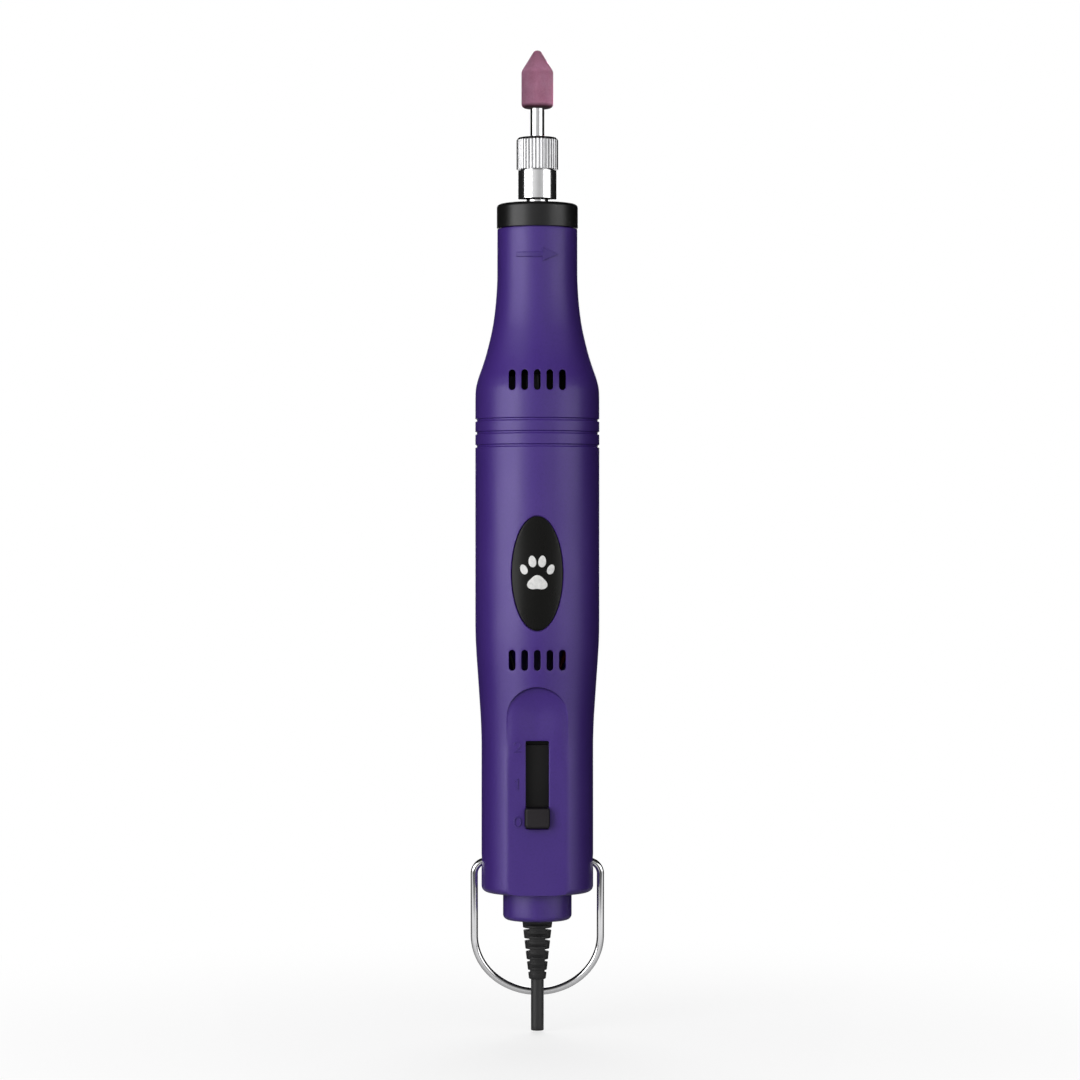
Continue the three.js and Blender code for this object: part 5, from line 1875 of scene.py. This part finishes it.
softbox("strip_left", azimuth=-57, elevation=2, distance=0.75, size=(0.66, 0.5),
        power=3.4, reflected=True)
softbox("strip_right", azimuth=61, elevation=2, distance=0.75, size=(0.62, 0.5),
        power=1.65, reflected=True)
softbox("wash_left", azimuth=-36, elevation=5, distance=0.75, size=(0.40, 0.8),
        power=4.3, reflected=False)
softbox("wash_right", azimuth=22, elevation=3, distance=0.75, size=(0.4, 0.8),
        power=1.7, reflected=False)
softbox("stone_fill", azimuth=64, elevation=4, distance=0.3, size=(0.05, 0.05),
        power=0.0046, reflected=False, target=(0, 0, 0.219), spread=9)
softbox("top_soft", azimuth=-10, elevation=74, distance=0.8, size=(0.6, 0.6),
        power=1.1, reflected=False)
softbox("back_wash", azimuth=180, elevation=28, distance=0.9, size=(0.8, 0.9),
        power=10.0, reflected=False)
softbox("back_strip", azimuth=180, elevation=10, distance=0.9, size=(0.4, 1.0),
        power=2.4, reflected=True)


# ---------------------------------------------------------------- world
def build_world():
    """White to the camera; a shaded room to every other ray."""
    world = bpy.data.worlds.new("studio")
    scene.world = world
    world.use_nodes = True
    world.node_tree.nodes.clear()
    w = NodeWriter(world.node_tree)
    rays = w.add("ShaderNodeLightPath").outputs
    x, y, z = w.axes(w.place["Generated"])
    # pale in front, dark from the sides back
    depth = w.grey_ramp(w.remap(y, (-1.0, 1.0)), ((0.0, 0.80), (0.28, 0.46), (0.50, 0.012)))
    # brighter on the left, with a dip right of the middle
    sides = w.grey_ramp(w.remap(x, (-1.0, 1.0)), ((0.20, 1.2), (0.62, 0.68), (0.80, 0.90)), "EASE")
    # matt surfaces get little light from the ground; reflections see a dark ceiling
    matt = w.remap(z, (-0.80, 0.05), (0.06, 0.43), smooth=True)
    glossy = w.remap(z, (0.06, 0.60), (1.0, 0.10), smooth=True)
    level = w.remap(rays["Is Glossy Ray"], result=(matt, glossy))
    strength = w.maths("MULTIPLY", sides, level)
    room = w.add("ShaderNodeBackground", {"Color": depth, "Strength": strength})
    white = w.add("ShaderNodeBackground", {"Color": (1, 1, 1, 1), "Strength": 1.0})
    seen = w.add("ShaderNodeMixShader", {"Fac": rays["Is Camera Ray"],
                                         1: room.outputs[0], 2: white.outputs[0]})
    w.add("ShaderNodeOutputWorld", {"Surface": seen.outputs[0]})


build_world()


# ---------------------------------------------------------------- floor
def floor_material():
    """Pale floor that fades into the white; reflections see it shaded. Lengths in metres."""
    m = Surface("pale_floor")
    x, y, _ = m.axes()
    away = m.add("ShaderNodeVectorMath", {0: m.place["Object"]}, operation="LENGTH")
    away = away.outputs["Value"]
    fade = m.remap(away, (0.02, 0.20), (0.72, 1.0), smooth=True)
    far = m.remap(away, (0.10, 0.75), (0.95, 0.40), smooth=True)
    behind = m.remap(y, (-0.06, 0.03), (1.0, 0.03))  # dark behind the object

    def less(value):
        return m.maths("SUBTRACT", 1.0, value)

    # a dark strip on the ground in front, seen only in reflections
    ahead = m.maths("MULTIPLY", y, -1.0)
    strip = m.maths("MULTIPLY", m.remap(ahead, (0.07, 0.11), smooth=True),
                    less(m.remap(ahead, (0.45, 0.80), smooth=True)))
    middle = less(m.remap(m.maths("ABSOLUTE", x), (0.10, 0.22), smooth=True))
    shade = less(m.maths("MULTIPLY", m.maths("MULTIPLY", strip, middle), 0.95))
    reflected = m.maths("MULTIPLY", m.maths("MULTIPLY", far, behind), shade)
    camera_ray = m.add("ShaderNodeLightPath").outputs["Is Camera Ray"]
    level = m.add("ShaderNodeMix", data_type="FLOAT")
    for socket, value in ((0, camera_ray), (2, reflected), (3, 1.0)):
        m.fill(level.inputs[socket], value)
    glow = m.add("ShaderNodeEmission", {"Color": (1, 1, 1, 1), "Strength": level.outputs[0]})
    m.finish(Base_Color=(0.80, 0.80, 0.80, 1), Roughness=0.7)
    plain = m.tree.nodes["Principled BSDF"].outputs["BSDF"]
    both = m.add("ShaderNodeMixShader", {"Fac": fade, 1: plain, 2: glow.outputs["Emission"]})
    m.fill(m.tree.nodes["Material Output"].inputs["Surface"], both.outputs["Shader"])
    return m.material


def build_floor():
    mesh = bpy.data.meshes.new("floor")
    bm = bmesh.new()
    bmesh.ops.create_circle(bm, cap_ends=True, segments=96, radius=4.0)
    bm.to_mesh(mesh)
    bm.free()
    floor = bpy.data.objects.new("floor", mesh)
    scene.collection.objects.link(floor)
    floor.location = (0, 0, -0.0004)
    mesh.materials.append(floor_material())
    floor.visible_diffuse = False


build_floor()
